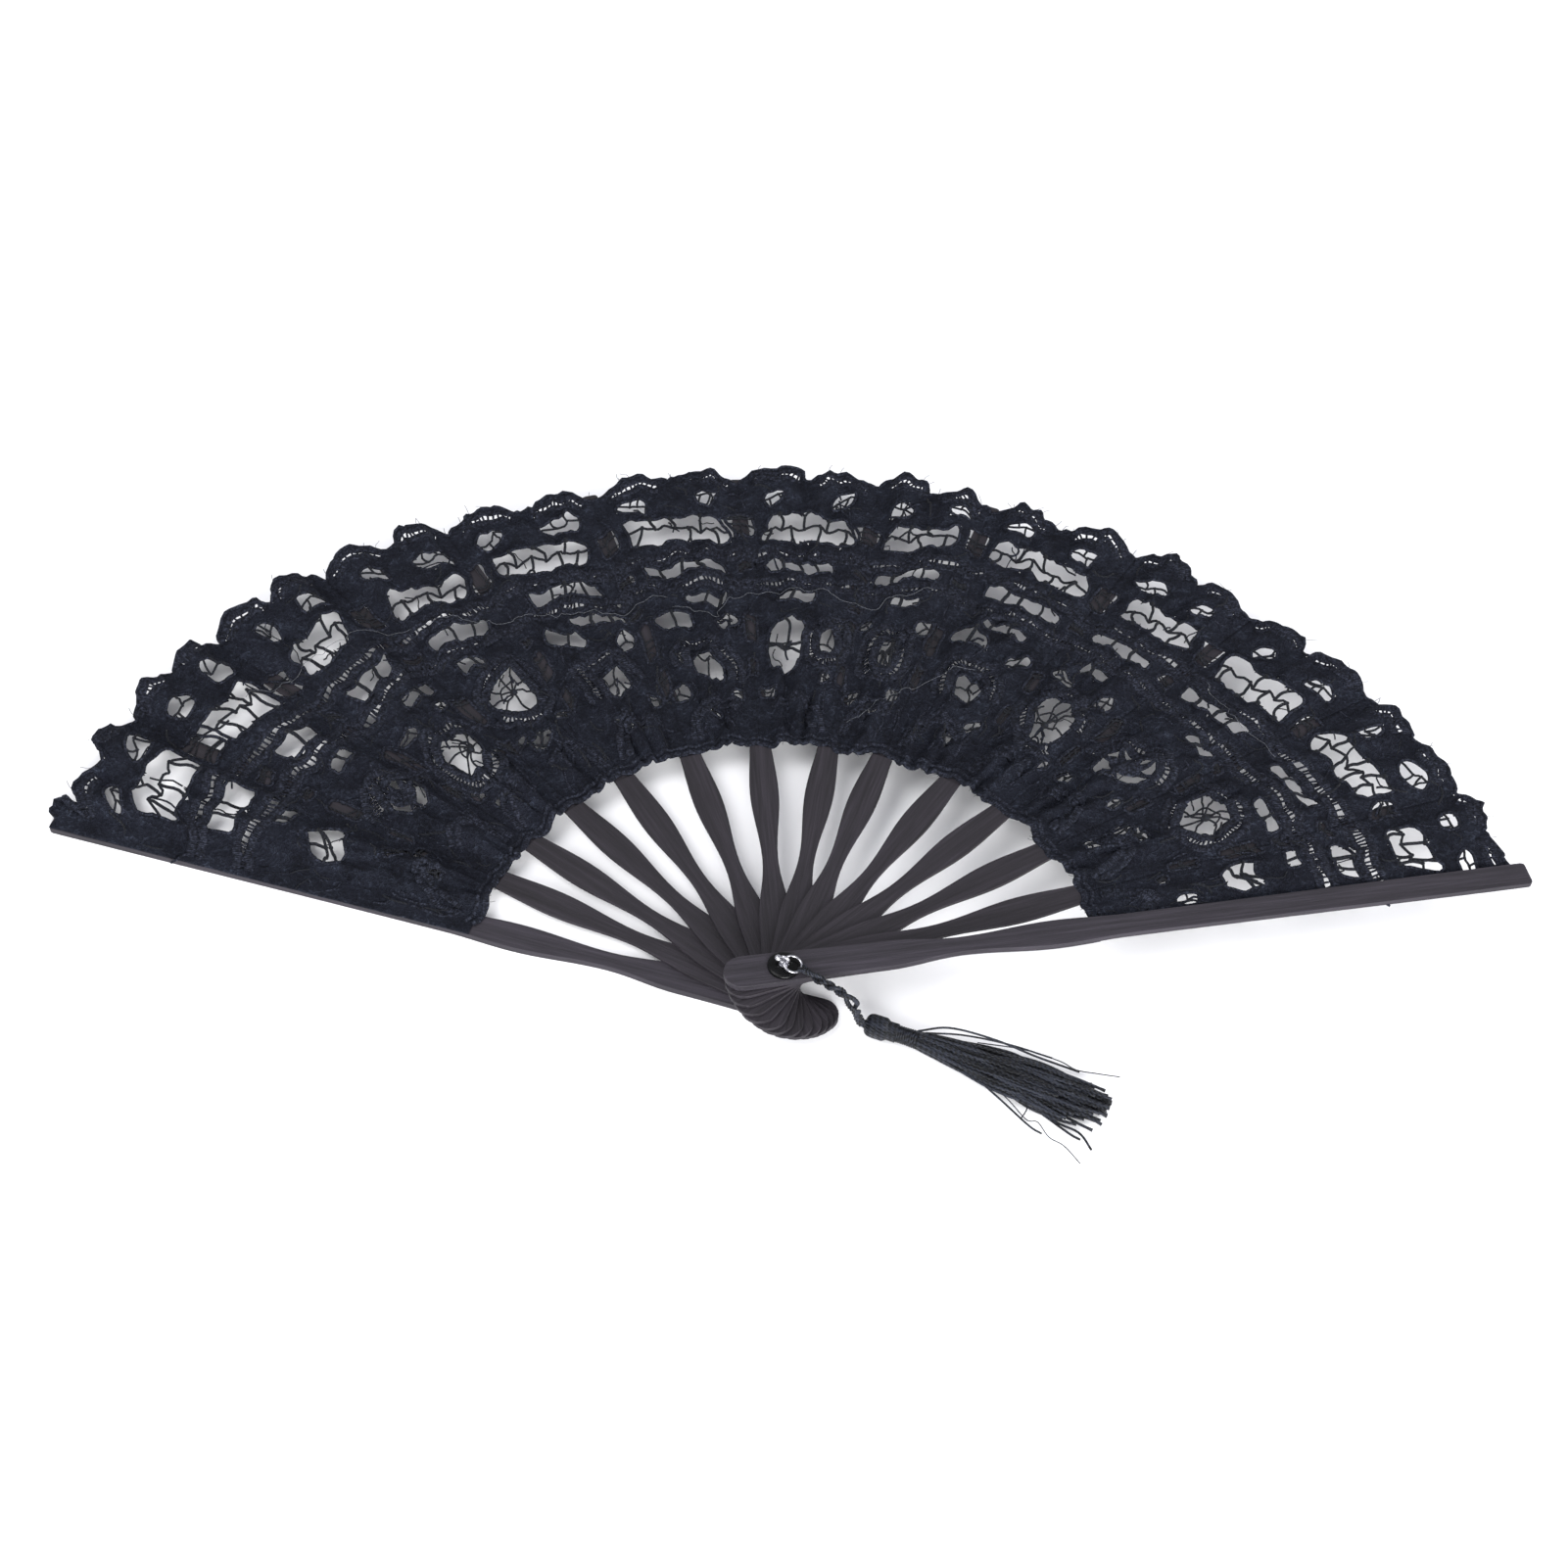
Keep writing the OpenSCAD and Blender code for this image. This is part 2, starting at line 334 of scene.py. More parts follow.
def cloth_material():
    """Gauzy black cotton: crossed yarns, thin and thick places, a soft sheen, and a painted highlight along
    its creases.
    """
    s = Shader("lace_cloth", Roughness=0.85, Specular_IOR_Level=0.06, **COTTON_SHEEN)
    across, along, _ = s.marks()
    yarn = math.tau / 0.62
    warp = s.math("SINE", s.math("MULTIPLY", across, yarn))
    weft = s.math("SINE", s.math("MULTIPLY", along, yarn))
    crossed = s.math("MULTIPLY", warp, weft)
    slub = s.noise(s.place(), 0.9, 3)
    patch = s.noise(s.place(), 8)
    creases = s.total((s.lines(4.5, 0.05), 1), (s.lines(1.9, 0.07), 0.75))
    height = s.total((crossed, 0.16), (slub, 0.5), (creases, 0.8))
    # Painted highlight: the creases are painted a little lighter than the cloth round them, as light catches
    # their ridges.
    tone = s.total((slub, 0.3), (patch, 0.4), (creases, 0.12))
    s.paint("Base Color", s.ramp(tone, (0.24, "0e0f14"), (0.38, "191b23"), (0.5, "22252e"), (0.64, "383d4a")))
    s.bump(height, 0.72)
    return s.made


def tape_material():
    """The lace's woven tapes: dense yarn laid across the tape."""
    s = Shader("lace_tape", Roughness=0.8, Specular_IOR_Level=0.08, **COTTON_SHEEN)
    aside, _, run = s.marks()
    rows = s.math("SINE", s.total((run, math.tau / 0.7), (aside, 1.3)))
    slub = s.noise(s.place(), 0.8, 3)
    height = s.total((rows, 0.4), (slub, 1))
    s.paint("Base Color", s.ramp(slub, (0.34, "0e0f13"), (0.52, "1b1d25"), (0.7, "31343f")))
    s.bump(height, 0.25)
    return s.made


def thread_material(name, dark, light, plies=2, lay=1.3, gloss=0.8, depth=0.12, drawn=None):
    """Twisted thread: its plies wind round it once in every lay mm. Drawn is the way a bundle of it runs."""
    s = Shader(name, Roughness=gloss, Specular_IOR_Level=0.2, Sheen_Weight=0.05, Sheen_Roughness=0.4)
    cos_turn, sin_turn, run = s.marks()
    turn = s.math("MULTIPLY", s.math("ARCTAN2", sin_turn, cos_turn), float(plies))
    wound = s.math("SINE", s.total((turn, 1), (run, math.tau * plies / lay / 2)))
    shade = s.total((wound, 0.25), (s.noise(s.place(), 0.5, 2), 1))
    tone = shade
    if drawn is not None:
        turned = s.node("Mapping", [s.place()])
        turned.inputs["Rotation"].default_value = (0, 0, -drawn)
        along = s.node("Mapping", [turned.outputs[0]])
        along.inputs["Scale"].default_value = (0.05, 1, 1)
        streak = s.span(s.noise(along.outputs[0], 1.1, 2), 0.35, 0.65, -0.36, 0.36)
        tone = s.math("ADD", shade, streak)
    s.paint("Base Color", s.ramp(tone, (0.3, dark), (0.75, light)))
    s.bump(shade, depth)
    return s.made


def wood_material(name, direction, tones):
    """Stained bamboo: long fine fibres along the stick and pores, with a painted highlight: the edges are
    painted a little paler, as light catches them.
    """
    s = Shader("wood_" + name, Roughness=0.6, Specular_IOR_Level=0.3)
    turned = s.node("Mapping", [s.place()])
    turned.inputs["Rotation"].default_value = (0, 0, -math.radians(direction))
    drawn = s.node("Mapping", [turned.outputs[0]])
    drawn.inputs["Scale"].default_value = (0.03, 1, 0.6)
    fibres = s.noise(drawn.outputs[0], 0.45, 4, 0.6)
    bands = s.noise(drawn.outputs[0], 2.2, 2)
    pores = s.node("Mapping", [turned.outputs[0]])
    pores.inputs["Scale"].default_value = (0.12, 1, 1)
    pore = s.span(s.noise(pores.outputs[0], 0.3, 2), 0.3, 0.42, 0.0, 1.0)
    # Painted highlight: where the rounded normal turns away from the true one, along the edges, the colour is
    # made a little paler, as light catches the edges.
    soft = s.node("Bevel", samples=4)
    soft.inputs["Radius"].default_value = 0.35 * MM
    true = s.node("NewGeometry")
    facing = s.node("VectorMath", [soft.outputs[0], true.outputs["Normal"]], operation="DOT_PRODUCT")
    painted_edge_highlight = s.span(facing.outputs["Value"], 0.75, 0.99, 0.05, 0.0)
    tone = s.total((fibres, 0.55), (bands, 0.45), (painted_edge_highlight, 1))
    s.paint("Base Color", s.ramp(tone, (0.3, tones[0]), (0.5, tones[1]), (0.72, tones[2])))
    s.paint("Roughness", s.span(fibres, 0.3, 0.7, 0.5, 0.7))
    s.bump(s.total((pore, 0.5), (fibres, 1)), 0.07)
    return s.made


def metal_material():
    """Bright plated wire with faint draw marks and small dull patches."""
    s = Shader("silver_plate", Metallic=1.0, Roughness=0.2)
    where = s.place()
    s.paint("Base Color", s.ramp(s.noise(where, 1.2), (0.3, "97979c"), (0.7, "cdcdd2")))
    s.paint("Roughness", s.span(s.noise(where, 0.5), 0.35, 0.7, 0.12, 0.3))
    s.bump(s.noise(where, 0.25), 0.01)
    return s.made


def washer_material():
    """Glossy black plastic with fine rub marks."""
    s = Shader("black_gloss", Roughness=0.3, Specular_IOR_Level=0.15)
    where = s.place()
    s.paint("Base Color", s.ramp(s.noise(where, 2), (0.35, "030303"), (0.7, "08080a")))
    s.paint("Roughness", s.span(s.noise(where, 0.4), 0.35, 0.7, 0.22, 0.4))
    s.bump(s.noise(where, 0.8), 0.01)
    return s.made


# ---------------------------------------------------------------- the fan's plan

RULE_R = 200
LEAF_INNER = 88
GLUE = 3.0
CLOTH_T = 0.34

folds = [j for j in frame["joints"] if j["name"].endswith("_fold")]
STICKS = [folds[0]["parent"]] + [j["child"] for j in folds]
PANELS = len(folds)
GAPS = [math.radians(j["range_deg"][1] - j["range_deg"][0]) for j in folds]
# Places of the sticks along the leaf, in mm of arc at RULE_R from the pivot, from the rear guard on
AT = np.concatenate([[0], np.cumsum(GAPS)]) * RULE_R
FIRST_DIR = math.pi / 2 + sum(GAPS) / 2
PANEL_NODES = [f"leaf_panel_{p + 1:02d}" for p in range(PANELS)]
TOPS = [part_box(STICKS[0])[1].z / MM]
TOPS += [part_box(n)[0].z / MM for n in PANEL_NODES]
TOPS = np.array(TOPS)
GUARD_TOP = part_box(STICKS[-1])[1].z / MM


def stick_direction(k):
    return math.degrees(FIRST_DIR - AT[k] / RULE_R)


def panel_of(u):
    return np.clip(np.searchsorted(AT, u, side="right") - 1, 0, PANELS - 1)


def share_of(u):
    """How far u is across its panel, from 0 to 1."""
    p = panel_of(u)
    return np.clip((u - AT[p]) / (AT[p + 1] - AT[p]), 0, 1)


# ---------------------------------------------------------------- the leaf's surface

# A point of the lace is (u, r): mm along the leaf at RULE_R from the pivot, and mm from the pivot.
# The lace is drawn as a flat strip. The fan gathers its inner edge, so what is round in the strip
# is narrower near the pivot.

rng = random.Random(21)
SCALLOP_RISE = [rng.uniform(3.4, 7.8) for _ in range(2 * PANELS + 2)]
SCALLOP_CURL = [rng.uniform(0.2, 3.2) for _ in range(2 * PANELS + 2)]
SLANTS = [rng.uniform(-3.4, 3.4) for _ in range(PANELS)]
VALLEY_R = 200.6
TAB_R = 214.9
# Distances from the pivot where the scallops' curl and the inner edge's pleats begin and are full
CURL_FROM, CURL_FULL = 176, 204
PLEATS_FROM, PLEATS_FULL = 124, 94
# Least height of the cloth, and its least distance from the level of the front guard's top
LOWEST, CEILING = 0.5, 1.1


def jitter(most):
    """A random number from -most to most."""
    return rng.uniform(-most, most)


def swell(u):
    """How much farther than elsewhere the lace reaches past the sticks towards the two guards."""
    rear = 8.5 * smooth(u / 14) * smooth((150 - u) / 70)
    front = 6.0 * smooth((u - 436) / 50)
    return rear + front - 1.6 * smooth((u - 130) / 60) * smooth((450 - u) / 40)


def scallop_of(u):
    """Number of the scallop at u, and how far u is across it."""
    s = 2 * (panel_of(u) + share_of(u))
    number = np.minimum(np.floor(s).astype(int), 2 * PANELS - 1)
    return number, s - number


def outer_edge(u):
    """Scalloped edge; over the rear guard it is torn off straight near the guard's tip."""
    number, across = scallop_of(u)
    lean = across + 0.1 * np.sin(math.pi * across) * np.sin(number * 2.4)
    crest = np.abs(np.sin(math.pi * lean)) ** 0.6
    edge = VALLEY_R + 1.2 * ripple(u, 0, 50, 30) + np.take(SCALLOP_RISE, number) * crest
    edge = edge + 0.8 * ripple(u, 0, 7, 31) + 0.35 * ripple(u, 0, 3, 37)
    tab = TAB_R + 1.2 * ripple(u, 0, 2.5, 32)
    return edge + (tab - edge) * smooth((5.4 - u) / 2)


def inner_edge(u):
    sag = 1.6 * np.sin(math.pi * share_of(u))
    return LEAF_INNER + 0.8 - sag + 1.1 * ripple(u, 0, 38, 33) + 0.5 * ripple(u, 0, 14, 34)


def drift(u, r):
    """The strip's bands wander, and run a little aslant between one stick and the next."""
    body = smooth((r - LEAF_INNER) / 30) * smooth((VALLEY_R - r) / 18)
    across = 2 * share_of(u) - 1
    aslant = np.take(SLANTS, panel_of(u)) * across * (1 - np.abs(across) ** 7)
    return body * (aslant + 2.2 * ripple(u, r, 75, 35, 3) + 0.7 * ripple(u, r, 17, 36))


def height(u, r):
    """Height of the middle of the cloth in mm: flat on each stick, risen and crumpled between them.

    It stays under the front guard's top, so that nothing pokes through the guard of the closed fan.
    """
    p = panel_of(u)
    from_low = (u - AT[p]) * r / RULE_R
    span = (AT[p + 1] - AT[p]) * r / RULE_R
    low, high = TOPS[p], TOPS[p + 1]
    climb = low + (high - low) * smooth((from_low - GLUE) / (span - 2 * GLUE))
    free = smooth((from_low - GLUE) / 4) * smooth((span - GLUE - from_low) / 4)
    number, across = scallop_of(u)
    outer = smooth((r - CURL_FROM) / (CURL_FULL - CURL_FROM))
    curl = outer * np.take(SCALLOP_CURL, number) * np.sin(math.pi * across) ** 2
    inner = smooth((PLEATS_FROM - r) / (PLEATS_FROM - PLEATS_FULL))
    pleats = inner * (1.3 * ripple(u, r, 9, 41, 9) + 1.1 * ridge(u, r, 15, 46, 7))
    pleats = pleats * (0.4 + 0.6 * smooth((r - LEAF_INNER - 1) / 8))
    crumple = 0.6 * ripple(u, r, 27, 42) + 0.55 * ripple(u, r, 10, 43, 1.8)
    crumple = crumple + 0.26 * ripple(u, r, 4.4, 47, 1.5)
    puff = (0.7 + 1.5 * smooth((190 - u) / 90)) * np.sin(math.pi * np.clip(from_low / span, 0, 1))
    creases = 1.2 * ridge(u, r, 30, 48, 2) + 1.0 * ridge(u, r, 15, 49, 1.5) + 0.55 * ridge(u, r, 7.5, 45, 2)
    lift = puff + curl + pleats + crumple + creases
    room = GUARD_TOP - CEILING - climb
    lift = room * np.tanh(lift / room)
    on_stick = 0.12 * (1 + ripple(u, r, 6, 44, 2))
    return np.maximum(climb + free * lift + (1 - free) * on_stick, LOWEST) + CLOTH_T / 2 + 0.03


def place(u, r, lift=0.0):
    """World points in metres for points of the lace, lift mm above the middle of the cloth."""
    u, r = np.asarray(u, float), np.asarray(r, float)
    away = smooth(share_of(u) * 8) * smooth((1 - share_of(u)) * 8)
    u_at = u + (1.7 * ripple(u, r, 19, 51) + 0.6 * ripple(u, r, 7.5, 52)) * away
    calm = 0.3 + 0.7 * smooth((r - LEAF_INNER - 2) / 12)
    wander = 0.8 * ripple(u, r, 15, 53) + 0.4 * ripple(u, r, 6.5, 54)
    r_at = r + swell(u) * smooth((r - 140) / 60) + drift(u, r) + calm * wander
    turn = FIRST_DIR - u_at / RULE_R
    return np.stack([r_at * np.cos(turn), r_at * np.sin(turn), height(u_at, r_at) + lift], -1) * MM


# ---------------------------------------------------------------- windows and tapes of the lace

CLOTH, TAPE, THREAD, FIBRE = range(4)
LINE_STEP = 1.3
builds = [Build() for _ in range(PANELS)]


def lay(points, wide, high, slot, sides=6, step=LINE_STEP):
    """Lays a line of (u, r, lift) points on the lace, and cuts it where it crosses a stick."""
    points = even(points, step)
    panels = panel_of(points[:, 0])
    start = 0
    pieces = []
    head = []
    for i in range(1, len(points) + 1):
        if i < len(points) and panels[i] == panels[start]:
            continue
        line = head + list(points[start:i])
        head = []
        if i < len(points):
            border = AT[max(panels[i], panels[start])]
            a, b = points[i - 1], points[i]
            cut = a + (b - a) * (border - a[0]) / (b[0] - a[0])
            line.append(cut)
            head = [cut]
        pieces.append((panels[start], np.array(line)))
        start = i
    for panel, line in pieces:
        if len(line) < 2 or np.linalg.norm(line[-1, :2] - line[0, :2]) + len(line) < 2.3:
            continue
        keep = np.concatenate([[True], np.linalg.norm(np.diff(line[:, :2], axis=0), axis=1) > 1e-4])
        line = line[keep]
        if len(line) >= 2:
            builds[panel].strand(place(line[:, 0], line[:, 1], line[:, 2]), wide, high, slot, sides)


def flat(points, lift=0.0):
    points = np.asarray(points, float)
    return np.column_stack([points, np.full(len(points), lift)])


def beside(path, distance):
    """A line at a distance in mm beside a path, true to size where the strip is gathered."""
    shrink = path[:, 1] / RULE_R
    run = np.gradient(path, axis=0)
    run[:, 0] *= shrink
    run = unit(run)
    return path + distance * np.column_stack([-run[:, 1] / shrink, run[:, 0]])


class Window:
    """An opening with rounded corners: middle, half sizes, corner radius and turn in degrees."""

    def __init__(self, u, r, a, b, corner, turn):
        self.u, self.r, self.a, self.b = u, r, a, b
        self.corner = min(a, b) * 0.92 if corner is None else corner
        self.cos, self.sin = math.cos(math.radians(turn)), math.sin(math.radians(turn))

    def at(self, x, y):
        x, y = np.asarray(x, float), np.asarray(y, float)
        return np.column_stack([self.u + x * self.cos - y * self.sin, self.r + x * self.sin + y * self.cos])

    def distance(self, u, r):
        x = (u - self.u) * self.cos + (r - self.r) * self.sin
        y = (r - self.r) * self.cos - (u - self.u) * self.sin
        qx, qy = np.abs(x) - self.a + self.corner, np.abs(y) - self.b + self.corner
        outside = np.hypot(np.maximum(qx, 0), np.maximum(qy, 0))
        return outside + np.minimum(np.maximum(qx, qy), 0) - self.corner

    def outline(self, grow):
        """Closed outline, grown by so many mm."""
        corner = self.corner + grow
        turn = np.linspace(0, math.pi / 2, 7)
        x, y = [], []
        for i, (sx, sy) in enumerate(((1, 1), (-1, 1), (-1, -1), (1, -1))):
            arc = turn + i * math.pi / 2
            x += list(sx * (self.a - self.corner) + corner * np.cos(arc))
            y += list(sy * (self.b - self.corner) + corner * np.sin(arc))
        return self.at(x + x[:1], y + y[:1])

    def edge_at(self, angle):
        """The point of the outline that lies at an angle from the middle, in the window's own directions."""
        reach = np.linspace(0.2, 1.6 * (self.a + self.b), 160)
        x, y = reach * math.cos(angle), reach * math.sin(angle)
        spots = self.at(x, y)
        inside = self.distance(spots[:, 0], spots[:, 1]) < 0
        i = int(np.argmin(inside)) if not inside.all() else len(reach) - 1
        return x[i], y[i]


windows = []
tapes = []


def thread(window, *spots, wide=0.48, bow=0.0):
    """A thread inside a window through a few spots of it, with a small bow."""
    spots = np.array(spots, float)
    if bow and len(spots) == 2:
        run = spots[1] - spots[0]
        middle = spots.mean(0) + bow * np.array([-run[1], run[0]]) / max(np.linalg.norm(run), 0.1)
        spots = np.array([spots[0], middle, spots[1]])
    line = curve(window.at(spots[:, 0], spots[:, 1]), LINE_STEP)
    lay(flat(line), wide, wide, THREAD)


def tie(window, x, y, size=0.62):
    u, r = window.at([x], [y])[0]
    builds[int(panel_of(u))].knot(place(u, r, 0.05), size, size * 0.75, THREAD)


def open_window(u, r, a, b, web, corner=None, turn=0.0):
    made = Window(u, r, a, b, corner, turn)
    windows.append(made)
    lay(flat(made.outline(0.1), 0.05), 0.55, 0.42, TAPE, 6)
    web(made)
    return made


def net_web(w):
    """Two rows of rounded cells with a bent line of threads between them; some threads split at the edge."""
    count = max(3, round(2 * w.a / 8.4))
    cell = 2 * w.a / count
    middle = []
    for i in range(2 * count + 1):
        x = -w.a + cell * i / 2
        y = (1 if i % 2 else -1) * 0.9 + jitter(0.45)
        x += jitter(0.9) if 0 < i < 2 * count else 0
        middle.append((x, y))
    thread(w, *middle, wide=0.42)
    for i, (x, y) in enumerate(middle[1:-1], 1):
        side = -1 if i % 2 else 1
        if rng.random() < 0.07:
            continue
        end = side * (w.b + 0.4)
        foot = x + jitter(1.3)
        tie(w, x, y)
        if rng.random() < 0.55:
            thread(w, (x, y), (foot, end), bow=jitter(0.9))
            tie(w, foot, end - side * 0.5, 0.9)
            continue
        split = (foot + (x - foot) * 0.35, y + (end - y) * 0.66)
        thread(w, (x, y), split, bow=jitter(0.5))
        for lean in (-1, 1):
            thread(w, split, (foot + lean * rng.uniform(0.8, 1.7), end), wide=0.4)


def ladder_web(w):
    """A few thick bars across a low window."""
    count = max(2, round(2 * w.a / 7))
    for i in range(1, count):
        x = -w.a + 2 * w.a * i / count + jitter(0.9)
        thread(w, (x, -w.b - 0.4), (x + jitter(1), w.b + 0.4), wide=rng.choice((0.45, 0.6)),
               bow=jitter(0.4))


def cell_web(w):
    """Three or four threads that meet near the middle."""
    hub = (jitter(0.25) * w.a, jitter(0.25) * w.b)
    first = rng.uniform(0, math.tau)
    count = rng.choice((3, 3, 4))
    for i in range(count):
        thread(w, hub, w.edge_at(first + math.tau * i / count + jitter(0.3)),
               bow=jitter(0.5), wide=0.32)
    tie(w, *hub)


def branch_web(w):
    """A bent thread across the opening, with short threads that leave it for both edges."""
    knees = [(-w.a - 0.2, jitter(0.3) * w.b), (-0.35 * w.a, rng.uniform(-0.35, 0.1) * w.b),
             (0.3 * w.a, rng.uniform(-0.1, 0.4) * w.b), (w.a + 0.2, jitter(0.3) * w.b)]
    thread(w, *knees, wide=0.36)
    for x, y in knees[1:3]:
        side = rng.choice((-1, 1))
        thread(w, (x, y), (x + jitter(1), side * (w.b + 0.3)), bow=jitter(0.4), wide=0.36)
        tie(w, x, y, 0.5)


def wheel_web(w):
    """Spokes from the edge to a wound hub, and a ring of thread round it."""
    hub = (jitter(0.2) * w.a, jitter(0.2) * w.b)
    count = 8
    ring = []
    for i in range(count):
        end = w.edge_at(math.tau * (i + jitter(0.25)) / count)
        thread(w, hub, end, bow=jitter(0.9), wide=0.32)
        ring.append((hub[0] + 0.42 * (end[0] - hub[0]), hub[1] + 0.42 * (end[1] - hub[1])))
    thread(w, *ring[:6], wide=0.28)
    tie(w, *hub, size=1.25)


def crossed_web(w):
    """One or two slack threads across a large opening."""
    for _ in range(2):
        angle = jitter(0.5)
        a, b = w.edge_at(angle), w.edge_at(math.pi + angle + jitter(0.6))
        middle = ((a[0] + b[0]) / 2, (a[1] + b[1]) / 2 - rng.uniform(0.4, 1.6))
        thread(w, a, middle, b)
        tie(w, *middle, size=0.7)
    hang = w.edge_at(math.pi / 2 + jitter(0.5))
    thread(w, hang, middle, bow=0.5)


def leaf_web(w):
    """Narrow leaves of close stitches that spread from the lower edge."""
    for i, angle in enumerate((0.25, 0.75, 1.3, 1.85, 2.4, 2.9)):
        end = w.edge_at(angle)
        foot = (0.12 * (i - 2.5) * w.a, -w.b * 0.9)
        line = curve(w.at([foot[0], (foot[0] + end[0]) * 0.45, end[0]],
                          [foot[1], (foot[1] + end[1]) * 0.5 - 0.5, end[1]]), LINE_STEP)
        fat = 0.35 + 1.1 * np.sin(math.pi * np.linspace(0, 1, len(line))) ** 1.2
        petal(line, fat)


def petal(line, fat):
    panel = int(panel_of(line[len(line) // 2, 0]))
    points = place(line[:, 0], line[:, 1], 0.1)
    builds[panel].strand(points, fat, 0.3 + 0.12 * fat, TAPE, 8)


RIBBON_OUT = 1.75
RIBBON_HALF = 1.42
BAR_PITCH = 1.45
SLOT_CUT = 1.5


def lay_tape(path, out=RIBBON_OUT, half=RIBBON_HALF):
    """A woven tape: two ribbons side by side with a row of small holes between them."""
    path = even(path, 1.0)
    tapes.append(path[2:-2])
    for side in (-1, 1):
        lay(flat(even(beside(path, side * out), LINE_STEP), 0.1), half, 0.3, TAPE, 8)
    bars = even(path, BAR_PITCH)
    left, right = beside(bars, -out * 0.6), beside(bars, out * 0.6)
    for a, b in zip(left[1:-1], right[1:-1]):
        lay(flat([a, b], 0.08), 0.37, 0.24, TAPE, 5, step=9)


def ring_tape(window, grow, first, last):
    """A tape that follows a window's outline at some distance, all the way or part of it."""
    path = even(window.outline(grow), 1.0)
    n = len(path)
    start = int(first * n)
    chosen = [path[(start + i) % (n - 1)] for i in range(int((last - first) * (n - 1)) + 1)]
    lay_tape(np.array(chosen))


def cord_line(points, wide):
    """A raised line of close stitches on solid cloth."""
    lay(flat(curve(points, LINE_STEP), 0.12), wide, 0.36, TAPE, 6)


# ---------------------------------------------------------------- the lace's pattern

NET_R = 180.2
TAPE_ONE_R = 168.6
LADDER_R = 162.3
TAPE_TWO_R = 155.4


def tape_one(u):
    return TAPE_ONE_R + 0.6 * ripple(u, 0, 30, 61)


def tape_two(u):
    return TAPE_TWO_R + 1.0 * ripple(u, 0, 34, 62)


def wheel_motif(u, wide):
    w = open_window(u, 124, wide * 0.25, 8.2, wheel_web, turn=jitter(12))
    ring_tape(w, 3.2, 0.05, 0.9)
    open_window(u + wide * 0.3, 141, wide * 0.1, 2.4, cell_web, turn=30)
    open_window(u - wide * 0.26, 141.5, wide * 0.12, 2.6, cell_web, turn=-20)


def high_wheel_motif(u, wide):
    w = open_window(u, 133, wide * 0.23, 8, wheel_web, turn=jitter(12))
    ring_tape(w, 3.2, 0.55, 1.45)
    open_window(u - wide * 0.1, 112, wide * 0.16, 2.2, crossed_web, turn=8)


def arch_motif(u, wide):
    w = open_window(u + 1, 121, wide * 0.15, 4.6, cell_web, turn=jitter(20))
    ring_tape(w, 5.6, -0.03, 0.55)
    open_window(u - wide * 0.2, 141.5, wide * 0.17, 3.4, ladder_web, turn=-6)
    open_window(u + wide * 0.29, 139, wide * 0.1, 3.2, cell_web, turn=24)


def tall_motif(u, wide):
    open_window(u - wide * 0.14, 128, wide * 0.17, 11.5, crossed_web, turn=-6)
    w = open_window(u + wide * 0.28, 130, wide * 0.08, 5, cell_web)
    ring_tape(w, 3.1, 0, 1)


def oval_motif(u, wide):
    w = open_window(u, 128, wide * 0.11, 6.4, net_web)
    ring_tape(w, 3.4, 0, 1)
    open_window(u - wide * 0.33, 142, wide * 0.09, 3, cell_web)
    open_window(u + wide * 0.33, 138, wide * 0.09, 4, cell_web)


def spray_motif(u, wide):
    w = open_window(u, 126, wide * 0.26, 7, leaf_web, corner=6, turn=jitter(8))
    ring_tape(w, 3.2, 0.0, 0.5)


def plain_motif(u, wide):
    open_window(u - wide * 0.05, 134, wide * 0.22, 5.6, crossed_web, corner=4, turn=12)
    open_window(u + wide * 0.2, 116, wide * 0.12, 2.8, cell_web, turn=-10)


MOTIFS = [plain_motif, spray_motif, wheel_motif, high_wheel_motif, arch_motif, arch_motif, tall_motif,
          oval_motif, arch_motif, wheel_motif, spray_motif, high_wheel_motif, plain_motif]


def draw_scallops(u, wide):
    """Two scallops, each with a tape along its edge and a small opening under it."""
    for half in (0.25, 0.75):
        centre = u + wide * half + jitter(1.2)
        if rng.random() < 0.88:
            open_window(centre, 192.8 + rng.uniform(-0.8, 1), wide * rng.uniform(0.085, 0.14),
                        rng.uniform(2.5, 3.7), branch_web, turn=jitter(25))
        scallop = np.linspace(-0.17, 0.17, 16) * wide + u + wide * half
        lay_tape(np.column_stack([scallop, outer_edge(scallop) - 3.3]), 1.3, 1.21)


def draw_band(p):
    """What lies between two sticks, from the outer edge in."""
    u, wide = AT[p], AT[p + 1] - AT[p]
    middle = u + wide / 2
    draw_scallops(u, wide)
    room = rng.uniform(5.4, 7.6)
    shift = jitter(1)
    open_window(middle + shift, NET_R, wide / 2 - room, rng.uniform(5.0, 6.1), net_web, corner=2.8,
                turn=jitter(2))
    tall = 3.6 - 1.2 * min(1, p / 4)
    open_window(middle + jitter(1), LADDER_R, wide / 2 - rng.uniform(6, 10), tall, ladder_web,
                corner=1.6, turn=jitter(1))
    open_window(middle + jitter(0.2) * wide, 149.2, wide * rng.uniform(0.12, 0.22), 1.9, ladder_web,
                corner=1.2, turn=jitter(3))
    MOTIFS[p](middle, wide)
    for side in (-1, 1):
        if rng.random() < 0.7:
            open_window(middle + side * wide * rng.uniform(0.27, 0.36), rng.uniform(108, 117), wide * 0.09,
                        rng.uniform(1.6, 3.2), cell_web, turn=jitter(20))
    if rng.random() < 0.6:
        open_window(middle + jitter(0.25) * wide, rng.uniform(98, 104), wide * rng.uniform(0.07, 0.13),
                    rng.uniform(1.2, 2), cell_web, turn=jitter(20))


